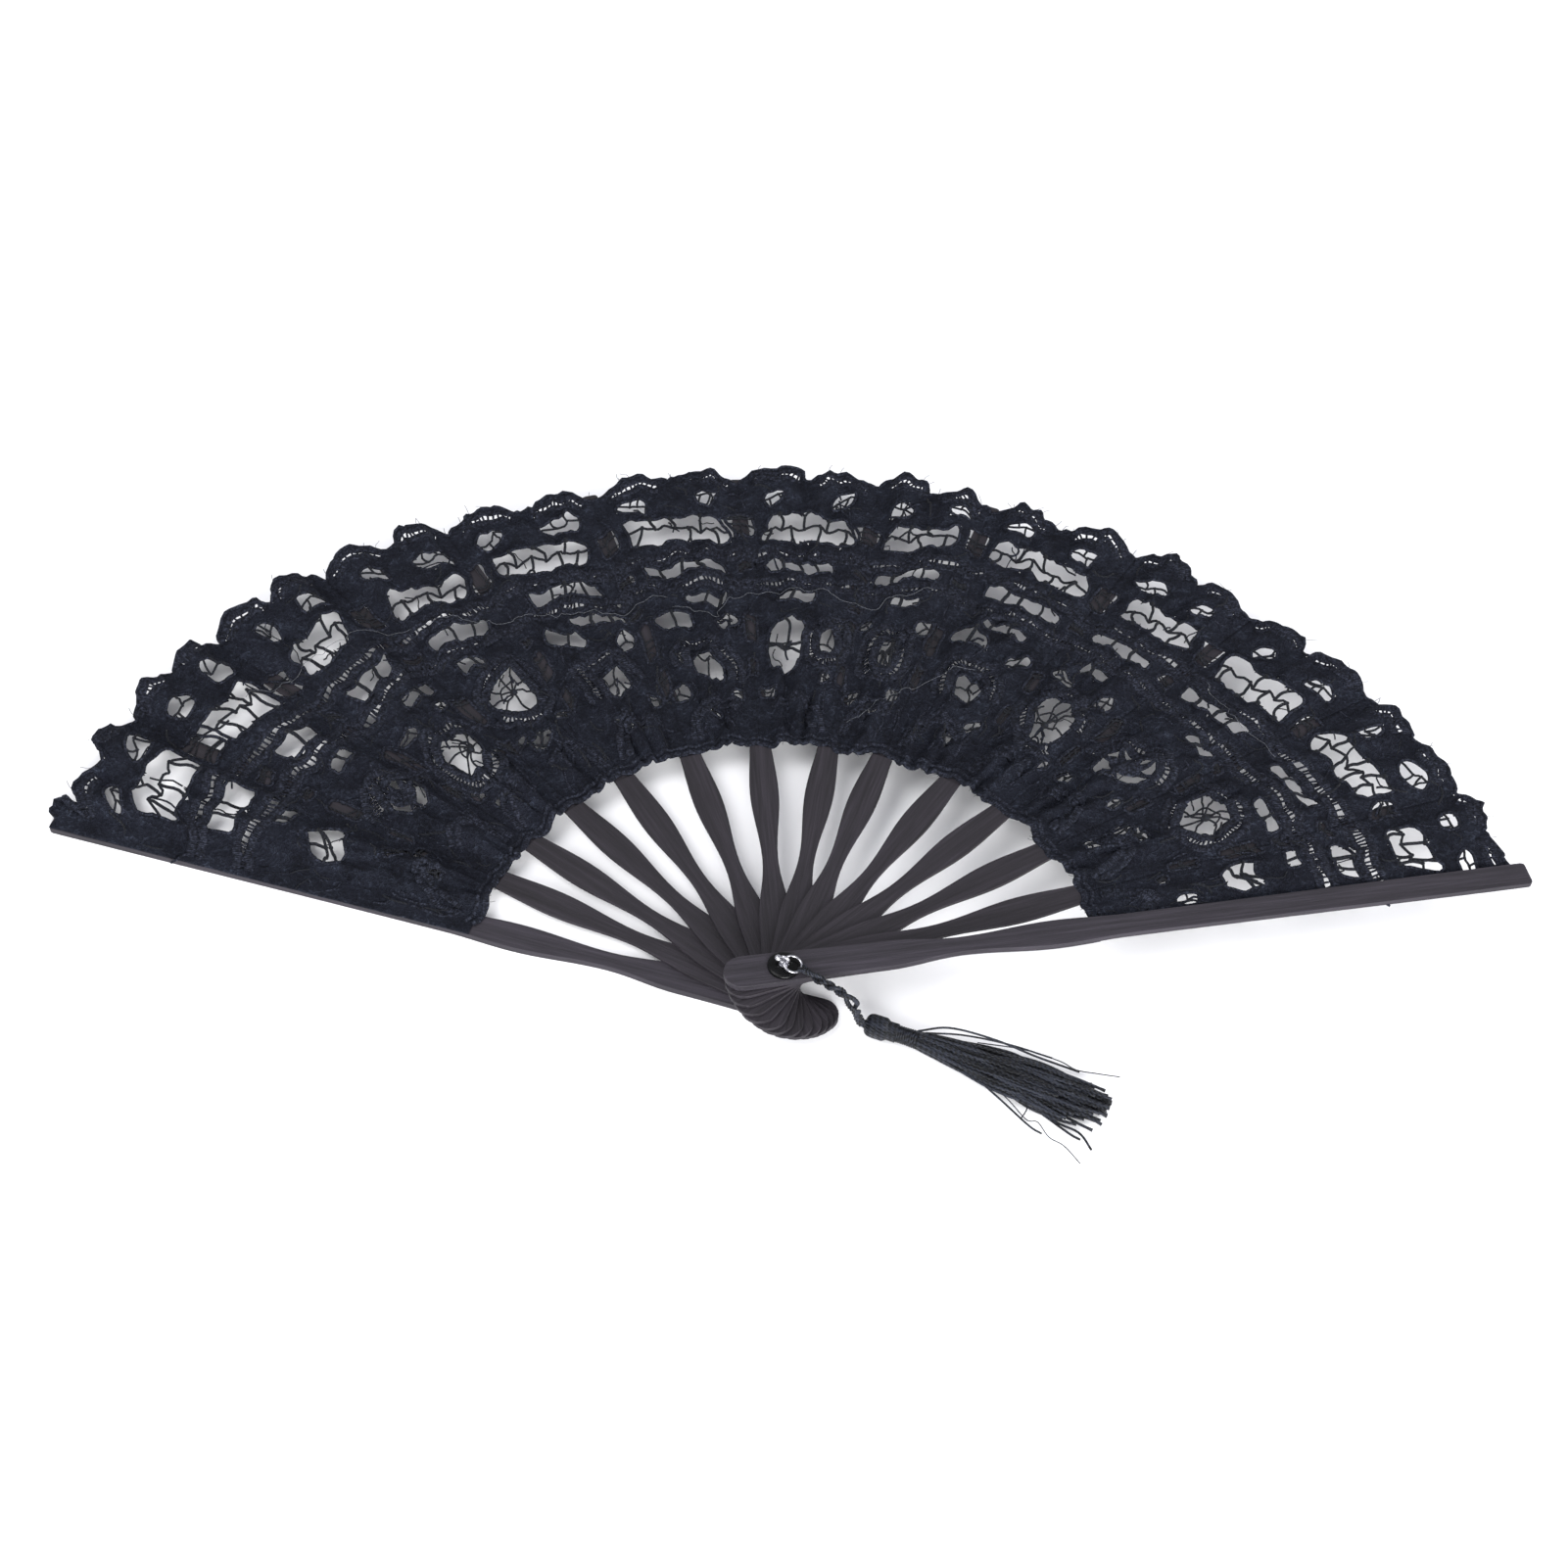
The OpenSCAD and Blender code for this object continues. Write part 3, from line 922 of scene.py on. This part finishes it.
def over_stick_web(w):
    """Threads that are drawn together where the lace is glued over a stick."""
    for _ in range(rng.choice((2, 3, 4))):
        y = jitter(0.8) * w.b
        thread(w, (-w.a - 0.3, y), (w.a + 0.3, y + jitter(2.5)), bow=jitter(0.5),
               wide=rng.uniform(0.2, 0.42))
    x = jitter(0.6) * w.a
    thread(w, (x, -w.b - 0.3), (x + jitter(1), w.b + 0.3), bow=jitter(0.6), wide=0.25)


# Openings over a stick: distance from the pivot, largest half height and how many of the sticks have one
OVER_STICK = ((NET_R, 5.8, 0.95), (LADDER_R, 2.3, 0.8), (148.5, 2, 0.6), (136, 6.5, 0.95), (119, 5, 0.8))


def draw_over_stick(k):
    """Openings over stick k, where the wood shows between drawn threads."""
    for r, b, likely in OVER_STICK:
        if rng.random() < likely:
            open_window(AT[k] + jitter(0.5), r + jitter(1), rng.uniform(3.3, 4.3) * r / 180,
                        b * rng.uniform(0.7, 1), over_stick_web, corner=1.1)


def closed_tape(points):
    """A woven tape on solid cloth: two ribbons that touch, with a row of stitches in the groove."""
    half = 1.25
    path = curve(points, LINE_STEP)
    for side in (-1, 1):
        lay(flat(even(beside(path, side * half * 0.86), LINE_STEP), 0.12), half, 0.34, TAPE, 8)


def draw_ridges():
    """Tapes and raised lines that curl over the solid cloth near the inner edge."""
    for p in range(PANELS):
        u, wide = AT[p], AT[p + 1] - AT[p]
        lean = rng.choice((-1, 1))
        foot = u + wide * (0.5 - 0.32 * lean)
        closed_tape([(foot, 93), (foot + lean * wide * 0.1, 101), (foot + lean * wide * 0.34, 106.5),
                     (foot + lean * wide * 0.6, 103)])
        for _ in range(2):
            a = u + wide * rng.uniform(0.1, 0.9)
            r = rng.uniform(92, 100)
            bend = jitter(6)
            cord_line([(a, r), (a + bend, r + 5), (a + bend * 0.6, r + rng.uniform(9, 14))],
                      rng.uniform(0.35, 0.6))


DRAWN_THREADS = 46
WHISKERS = 90


def draw_drawn_threads():
    """Yarns that were pulled up and lie over the cloth, more of them near the inner edge."""
    for p in range(PANELS):
        u, wide = AT[p], AT[p + 1] - AT[p]
        for i in range(DRAWN_THREADS):
            a = u + wide * rng.uniform(-0.04, 0.96)
            r = rng.uniform(LEAF_INNER + 3, 152) if i % 3 else rng.uniform(150, 198)
            way = rng.gauss(math.pi / 2, 0.6) if r < 125 else rng.uniform(0, math.pi)
            reach = rng.uniform(3, 10)
            bend = jitter(0.35) * reach
            run, rise = math.cos(way) * reach, math.sin(way) * reach
            spots = [(a, r), (a + run / 2 - bend * math.sin(way), r + rise / 2 + bend * math.cos(way)),
                     (a + run, r + rise)]
            line = flat(curve(spots, LINE_STEP), 0.2)
            line[[0, -1], 2] = -0.05
            fat = rng.uniform(0.16, 0.4)
            lay(line, fat, fat, TAPE if i % 2 else THREAD, 5)


def draw_loose_ends():
    """Long fine fibres that lie across the lace, and short whiskers along its edges."""
    fibres = [
        [(60, 181), (100, 176), (150, 160), (176, 152), (214, 150)],
        [(214, 146), (232, 141), (236, 146), (262, 151), (300, 149), (320, 155)],
        [(300, 98), (318, 108), (338, 122), (352, 129)],
        [(430, 170), (452, 163), (470, 166)],
    ]
    for points in fibres:
        line = flat(curve(points, LINE_STEP), 0.9)
        line[:, 2] += 0.4 * ripple(line[:, 0], line[:, 1], 12, 71)
        lay(line, 0.075, 0.075, FIBRE, 4)
    for _ in range(WHISKERS):
        u = rng.uniform(0, AT[-1] - 4)
        r = float(outer_edge(np.array([u]))[0]) if rng.random() < 0.6 else float(inner_edge(np.array([u]))[0])
        way = 1 if r > 150 else -1
        bend = jitter(2)
        reach = rng.uniform(0.8, 2.6) * way
        lay([(u, r - 0.8 * way, 0), (u + bend * 0.4, r + reach * 0.6, 0.4), (u + bend, r + reach, 0.9)],
            0.07, 0.07, THREAD, 4, step=0.7)


def draw_edges():
    along = np.arange(0, AT[-1] - 2.5, 0.9)
    lay(np.column_stack([along, outer_edge(along) - 0.15, np.full(len(along), 0.05)]), 0.6, 0.45, TAPE)
    lay(np.column_stack([along, inner_edge(along) + 0.3, np.full(len(along), 0.1)]), 1.0, 0.5, TAPE, 8)
    lay(np.column_stack([along, inner_edge(along) + 2.6, np.full(len(along), 0.1)]), 0.7, 0.4, TAPE)


whole = np.arange(-2.0, AT[-1] - 1, 1.0)
lay_tape(np.column_stack([whole, tape_one(whole)]))
lay_tape(np.column_stack([whole, tape_two(whole)]))
for p in range(PANELS):
    draw_band(p)
for k in range(1, PANELS):
    draw_over_stick(k)
draw_ridges()
draw_drawn_threads()
draw_loose_ends()
draw_edges()

# ---------------------------------------------------------------- the cloth between the windows

CLOTH_STEP = 1.2
CLOTH_ROWS = 98
OVERHANG = 3.7


def path_distance(path, u, r):
    """Distance from each point to a line of the strip."""
    best = np.full(u.shape, 1e9)
    for a, b in zip(path[:-1], path[1:]):
        run = b - a
        t = np.clip(((u - a[0]) * run[0] + (r - a[1]) * run[1]) / max(run.dot(run), 1e-9), 0, 1)
        best = np.minimum(best, np.hypot(u - a[0] - t * run[0], r - a[1] - t * run[1]))
    return best


def openness(p, u, r):
    """Above 0 where panel p has cloth, below 0 in its openings; mm to the nearest opening's edge."""
    left, right = AT[p] - 8, AT[p + 1] + 8
    found = np.full(u.shape, 1e9)
    for w in windows:
        if left < w.u < right:
            found = np.minimum(found, w.distance(u, r))
    for path in tapes:
        near = path[(path[:, 0] > left) & (path[:, 0] < right)]
        if len(near) > 1:
            found = np.minimum(found, path_distance(near, u, r) - SLOT_CUT)
    return found


def mend_corners(kept):
    """Fills one cell where two kept cells touch only at a corner."""
    for _ in range(6):
        a, b, c, d = kept[:-1, :-1], kept[1:, :-1], kept[:-1, 1:], kept[1:, 1:]
        first = a & d & ~b & ~c
        second = b & c & ~a & ~d
        if not (first.any() or second.any()):
            break
        b |= first
        a |= second


def add_cloth(p):
    """The closed sheet of panel p, with its openings; points near an opening's edge move onto it."""
    count = int(round((AT[p + 1] - AT[p]) / CLOTH_STEP))
    u = np.linspace(AT[p], AT[p + 1], count + 1)[:, None] + np.zeros((1, CLOTH_ROWS + 1))
    v = np.linspace(0, 1, CLOTH_ROWS + 1)[None, :]
    low, high = inner_edge(u), outer_edge(u)
    r = low + (high - low) * v
    if p == 0:
        past = np.array([1, 2 / 3, 1 / 3])[:, None] * OVERHANG
        r = np.vstack([np.repeat(r[:1], 3, 0), r])
        u = np.vstack([-past * RULE_R / r[:3], u])
    tiny = 0.05
    gap = openness(p, u, r)
    slope_u = (openness(p, u + tiny, r) - gap) / tiny
    slope_r = (openness(p, u, r + tiny) - gap) / tiny
    move = np.where(np.abs(gap) < 0.62 * CLOTH_STEP, gap, 0)
    inside = np.ones(u.shape, bool)
    inside[[0, -1]] = False
    inside[:, [0, -1]] = False
    move = np.where(inside, move, 0)
    u, r = u - move * slope_u, r - move * slope_r
    gap = gap - move
    kept = (gap[:-1, :-1] + gap[1:, :-1] + gap[:-1, 1:] + gap[1:, 1:]) > 0.02
    mend_corners(kept)
    close_sheet(builds[p], u, r, kept)


def close_sheet(build, u, r, kept):
    """Upper and lower faces for the kept cells, and walls round every opening."""
    n_u, n_r = u.shape
    number = np.arange(n_u * n_r).reshape(n_u, n_r)
    half = CLOTH_T / 2
    verts = np.vstack([place(u.ravel(), r.ravel(), half), place(u.ravel(), r.ravel(), -half)])
    marks = np.column_stack([np.tile(u.ravel(), 2), np.tile(r.ravel(), 2), np.zeros(2 * u.size)])
    under = n_u * n_r
    faces, soft = [], []
    padded = np.pad(kept, 1)
    for i, j in zip(*np.nonzero(kept)):
        a, b, c, d = number[i, j], number[i + 1, j], number[i + 1, j + 1], number[i, j + 1]
        faces.append((a, b, c, d))
        faces.append((a + under, d + under, c + under, b + under))
        sides = (((a, b), padded[i + 1, j]), ((b, c), padded[i + 2, j + 1]),
                 ((c, d), padded[i + 1, j + 2]), ((d, a), padded[i, j + 1]))
        faces += [(e[1], e[0], e[0] + under, e[1] + under) for e, neighbour in sides if not neighbour]
        soft += [True, True]
        soft += [False] * (len(faces) - len(soft))
    used = np.unique(np.array(faces))
    renumber = np.zeros(2 * under, int)
    renumber[used] = np.arange(len(used))
    build.add(verts[used], renumber[np.array(faces)].tolist(), marks[used], CLOTH, soft)


lace_materials = [
    cloth_material(),
    tape_material(),
    thread_material("lace_thread", "07080c", "151820"),
    thread_material("loose_fibre", "3c3e43", "6f7278"),
]
DEPTH_AT = 40.0
PANEL_DEPTH = (outer_edge(np.array([DEPTH_AT]))[0] - LEAF_INNER) * MM
for p in range(PANELS):
    add_cloth(p)
    panel = builds[p].piece(f"lace_{p + 1:02d}", lace_materials)
    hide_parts(PANEL_NODES[p])
    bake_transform(panel)

# ---------------------------------------------------------------- sticks, pin and washer

RIB_TONES = ("131114", "201d22", "2f2b32")
GUARD_TONES = ("19171b", "28252b", "38343c")


def finish_stick(k):
    node = frame["nodes"][STICKS[k]]
    tones = GUARD_TONES if k in (0, PANELS) else RIB_TONES
    node.data.materials.clear()
    node.data.materials.append(wood_material(STICKS[k], stick_direction(k), tones))
    soften(node, 0.16)


def soften(node, width):
    """Rounds a CAD part's sharp edges a little."""
    weld = node.modifiers.new("weld", "WELD")
    weld.merge_threshold = 0.001 * MM
    round_off = node.modifiers.new("round", "BEVEL")
    round_off.width = width * MM
    round_off.segments = 2
    round_off.limit_method = "ANGLE"
    round_off.angle_limit = math.radians(50)
    round_off.harden_normals = True


for k in range(PANELS + 1):
    finish_stick(k)
silver = metal_material()
for name in ("eye_pin", "jump_ring"):
    frame["nodes"][name].data.materials.clear()
    frame["nodes"][name].data.materials.append(silver)
frame["nodes"]["pivot_washer"].data.materials.clear()
frame["nodes"]["pivot_washer"].data.materials.append(washer_material())

# ---------------------------------------------------------------- tassel

TASSEL_START = np.array([23.5, -6.1, 3.3])
TASSEL_DIR = math.radians(-17.8)
KNOB_D, KNOB_L = 6.4, 8.2
NECK_D, NECK_L = 5.0, 6.2
SKIRT_L, SKIRT_W, SKIRT_T = 55, 16.4, 4.8
CORD_ROUTE = [
    (0.0045, -0.0014, 0.0204), (0.0068, -0.0031, 0.0203), (0.0098, -0.0052, 0.0203),
    (0.0126, -0.0069, 0.0202), (0.0152, -0.0083, 0.0199), (0.0173, -0.0093, 0.019),
    (0.0187, -0.0099, 0.0173), (0.0196, -0.0099, 0.0149), (0.0203, -0.0095, 0.0122),
    (0.0209, -0.0089, 0.0095), (0.0215, -0.0081, 0.007), (0.0223, -0.0072, 0.0049),
    (0.0236, -0.0065, 0.0036), (0.026, -0.0069, 0.0033), (0.03, -0.0082, 0.0033),
    (0.035, -0.0098, 0.0033), (0.04, -0.0114, 0.0032), (0.045, -0.013, 0.003),
    (0.05, -0.0146, 0.0028),
]


def on_tassel(s, across, up):
    """World points in metres at s along the tassel, across it and above its middle line, all in mm."""
    s, across, up = np.broadcast_arrays(np.asarray(s, float), across, up)
    ahead = np.array([math.cos(TASSEL_DIR), math.sin(TASSEL_DIR), 0])
    left = np.array([-math.sin(TASSEL_DIR), math.cos(TASSEL_DIR), 0])
    sink = (TASSEL_START[2] - SKIRT_T / 2 - 0.1) * smooth((s - KNOB_L - NECK_L) / SKIRT_L)
    found = TASSEL_START + s[..., None] * ahead + across[..., None] * left
    found[..., 2] += up - sink
    return found * MM


def round_tassel(s, radius, turn):
    """World points round the tassel's middle line."""
    return on_tassel(s, radius * np.cos(turn), radius * np.sin(turn))


def tassel_piece(build, name, node):
    """The finished piece, in place of the CAD's node; all of the tassel moves with the ring."""
    made = build.piece(name, [yarn])
    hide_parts(node)
    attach(made, "ring_and_tassel")
    return made


yarn = thread_material("tassel_yarn", "07080b", "23262f", plies=2, lay=1.6, gloss=0.42, depth=0.14,
                       drawn=TASSEL_DIR)


def make_cord():
    """Two twisted strands that part at the ring and once more on the way to the tassel's head."""
    line = curve(CORD_ROUTE, 0.4 * MM)
    _, aside, upward = carried_frames(line)
    steps = np.linalg.norm(np.diff(line, axis=0), axis=1) / MM
    run = np.concatenate([[0], np.cumsum(steps)])
    opened = np.exp(-((run - 2.5) / 2.6) ** 2) + 0.85 * np.exp(-((run - 17) / 2.4) ** 2)
    turn = np.cumsum(np.gradient(run) * (1 - 0.95 * np.clip(opened, 0, 1)) * math.tau / 6.4)
    apart = 0.62 + 0.75 * opened
    build = Build()
    for half in (0, math.pi):
        middle = line + (aside * np.cos(turn + half)[:, None] + upward * np.sin(turn + half)[:, None]) \
            * apart[:, None] * MM
        for ply in range(3):
            wind = ply * math.tau / 3 - run * math.tau / 2.6
            centre = middle + (aside * np.cos(wind)[:, None] + upward * np.sin(wind)[:, None]) * 0.36 * MM
            build.strand(centre, 0.41, 0.41, 0, 6, carried_frames)
    return tassel_piece(build, "twisted_cord", "tassel_cord"), line


def make_head():
    """Yarns that are drawn over the end of the tassel and down its sides, over a plain core."""
    build = Build()
    count = 22
    bound = KNOB_L + 0.4
    t = np.linspace(0, 1, 34)
    s = bound * t
    shoulder = np.clip(1 - s / 2.2, 0, 1)
    radius = (KNOB_D / 2 - 0.35) * np.clip((1 - shoulder ** 3.2) ** (1 / 3.2), 0.3, 1)
    rest = NECK_D / 2 - 0.3
    radius = radius + (rest - radius) * smooth((s - 4.9) / 1.3)
    for i in range(count):
        turn = math.tau * i / count + 0.9 * t
        build.strand(round_tassel(s, radius, turn), 0.46, 0.4, 0, 6, carried_frames)
    build.strand(on_tassel(s, 0, 0), radius - 0.05, radius - 0.05, 0, 16, carried_frames)
    return tassel_piece(build, "woven_head", "tassel_head")


def make_neck():
    """A thread that is wound round the yarns below the head."""
    build = Build()
    turns = 13
    start = KNOB_L - 2.1
    t = np.linspace(0, 1, turns * 20)
    turn = math.tau * turns * t
    radius = NECK_D / 2 - 0.24 - 0.16 * np.sin(math.pi * t)
    s = start + (KNOB_L + NECK_L - start) * t
    build.strand(round_tassel(s, radius, turn), 0.38, 0.34, 0, 6, carried_frames)
    inside = np.linspace(KNOB_L, KNOB_L + NECK_L + 0.5, 8)
    core = NECK_D / 2 - 0.45
    build.strand(on_tassel(inside, 0, 0), core, core, 0, 16, carried_frames)
    return tassel_piece(build, "wound_neck", "tassel_neck")


def skirt_line(rng, t, ring, turn):
    """Middle line of one skirt yarn: where it starts in the neck and how it spreads to the loose end."""
    half_w = NECK_D / 2 - 0.5 + (SKIRT_W / 2 - NECK_D / 2 - 0.3) * (1 - (1 - t) ** 2.4)
    half_w = half_w * (1 - 0.2 * smooth((t - 0.72) / 0.28))
    half_t = NECK_D / 2 - 0.5 + (SKIRT_T / 2 - NECK_D / 2) * t
    turn = turn + rng.uniform(-0.9, 0.9) * t
    across = ring * np.cos(turn) * half_w
    up = ring * np.sin(turn) * half_t
    wave = rng.uniform(0, math.tau)
    sway = np.sin(math.pi / 2 * np.clip(2 * t, 0, 1)) * rng.uniform(0.2, 1.2)
    across = across - 3.2 * t**1.4 + sway * np.sin(t * rng.uniform(5, 13) + wave)
    across = across + 0.5 * np.sin(9 * t + 2.5 * ring * math.cos(wave)) * t
    lock = round(2.6 * ring * math.cos(turn[0]) + rng.uniform(-0.3, 0.3))
    across = across + 0.36 * lock * smooth((t - 0.66) / 0.34)
    up = up + 0.5 * sway * np.sin(t * rng.uniform(9, 15) + wave * 1.7)
    return across, up


def make_skirt():
    """Twisted yarns that hang from the neck, cut to uneven lengths, with a few that strayed."""
    rng = random.Random(5)
    build = Build()
    start = KNOB_L + NECK_L - 0.6
    count = 92
    for i in range(count):
        ring = math.sqrt((i + 0.5) / count)
        turn = i * 2.39996
        aside = ring * math.cos(turn)
        rounded = 1 - 0.13 * (aside - 0.15) ** 2 + 0.05 * aside
        t = np.linspace(0, 1, 34) * (min(rounded, 1) - 0.24 * rng.random() ** 1.6)
        across, up = skirt_line(rng, t, ring, turn)
        line = on_tassel(start + SKIRT_L * t, across, up)
        line[:, 2] = np.maximum(line[:, 2], 0.45 * MM)
        fat = 0.44 - 0.06 * t
        fat[-1] = 0.5
        build.strand(line, fat, fat, 0, 6, carried_frames)
    # Yarns that left the bundle: their way as along, across and up in mm, and their half width
    strays = [
        ([(14, 1.5, 2), (22, 4, 4.4), (34, 6, 3), (46, 6.4, 1.2), (58, 7.4, -0.6)], 0.3),
        ([(30, 4, 2), (42, 7, 1.5), (52, 8.6, -0.4), (57, 8, -1), (63, 9.4, -1.4), (68.6, 10.6, -1.4)], 0.16),
        ([(28, -4, 1), (40, -9, -0.5), (50, -13.6, -1.6), (54, -14.6, -1.8)], 0.28),
        ([(30, -3, 1), (42, -8.8, 0.4), (49, -12.6, -0.8), (52, -12.4, -0.4), (56, -15, -1.6),
          (60.5, -16, -1.8), (66, -19.6, -1.9)], 0.15),
        ([(16, 2, 1.5), (26, 4.6, 2.4), (38, 7, 1.6), (50, 8.3, 0.2)], 0.26),
        ([(44, -4.6, 0), (48, -8.4, -0.8), (47.5, -12.6, -1.6)], 0.2),
        ([(40, -5, 0), (52, -9, -1), (61, -12, -1.6), (64, -12.4, -1.9)], 0.32),
        ([(44, -3, 0), (55, -9.6, -1), (63, -10.8, -1.4), (67.6, -14.4, -1.9)], 0.32),
    ]
    for points, fat in strays:
        points = curve(points, 1.0)
        line = on_tassel(points[:, 0], points[:, 1], points[:, 2])
        line[:, 2] = np.maximum(line[:, 2], 0.3 * MM)
        build.strand(line, fat, fat, 0, 6, carried_frames)
    return tassel_piece(build, "yarn_skirt", "tassel_skirt")


cord, cord_line_points = make_cord()
make_head()
make_neck()
make_skirt()

# ---------------------------------------------------------------- floor and light

FLOOR_HALF = 8


def make_floor():
    mesh = bpy.data.meshes.new("floor")
    corners = [(-1, -1), (1, -1), (1, 1), (-1, 1)]
    mesh.from_pydata([(x * FLOOR_HALF, y * FLOOR_HALF, 0) for x, y in corners], [], [(0, 1, 2, 3)])
    s = Shader("floor_white", Roughness=0.9, Specular_IOR_Level=0.0)
    s.paint("Base Color", s.ramp(s.noise(s.place(), 300), (0.3, "f4f4f6"), (0.7, "f7f7f8")))
    mesh.materials.append(s.made)
    floor = bpy.data.objects.new("floor", mesh)
    bpy.context.scene.collection.objects.link(floor)


def make_light(name, at, size, power):
    data = bpy.data.lights.new(name, "AREA")
    data.shape = "DISK"
    data.size = size
    data.energy = power
    light = bpy.data.objects.new(name, data)
    light.location = at
    back = unit(np.array(at, float))
    aside = unit(np.cross([0, 1, 0], back))
    turn = Matrix(np.column_stack([aside, np.cross(back, aside), back]).tolist())
    light.rotation_euler = turn.to_euler()
    bpy.context.scene.collection.objects.link(light)


def make_world():
    world = bpy.data.worlds.new("studio")
    world.use_nodes = True
    back = world.node_tree.nodes["Background"]
    back.inputs["Color"].default_value = colour("f4f5fc")
    back.inputs["Strength"].default_value = 0.7
    bpy.context.scene.world = world


make_floor()
make_light("key", (-0.75, -0.25, 1.3), 1.0, 14)
make_light("front", (0.3, -1.5, 0.6), 1.1, 50)
make_light("side", (1.4, -0.3, 0.6), 1.0, 11)
make_world()
bpy.context.scene.view_settings.view_transform = "Standard"
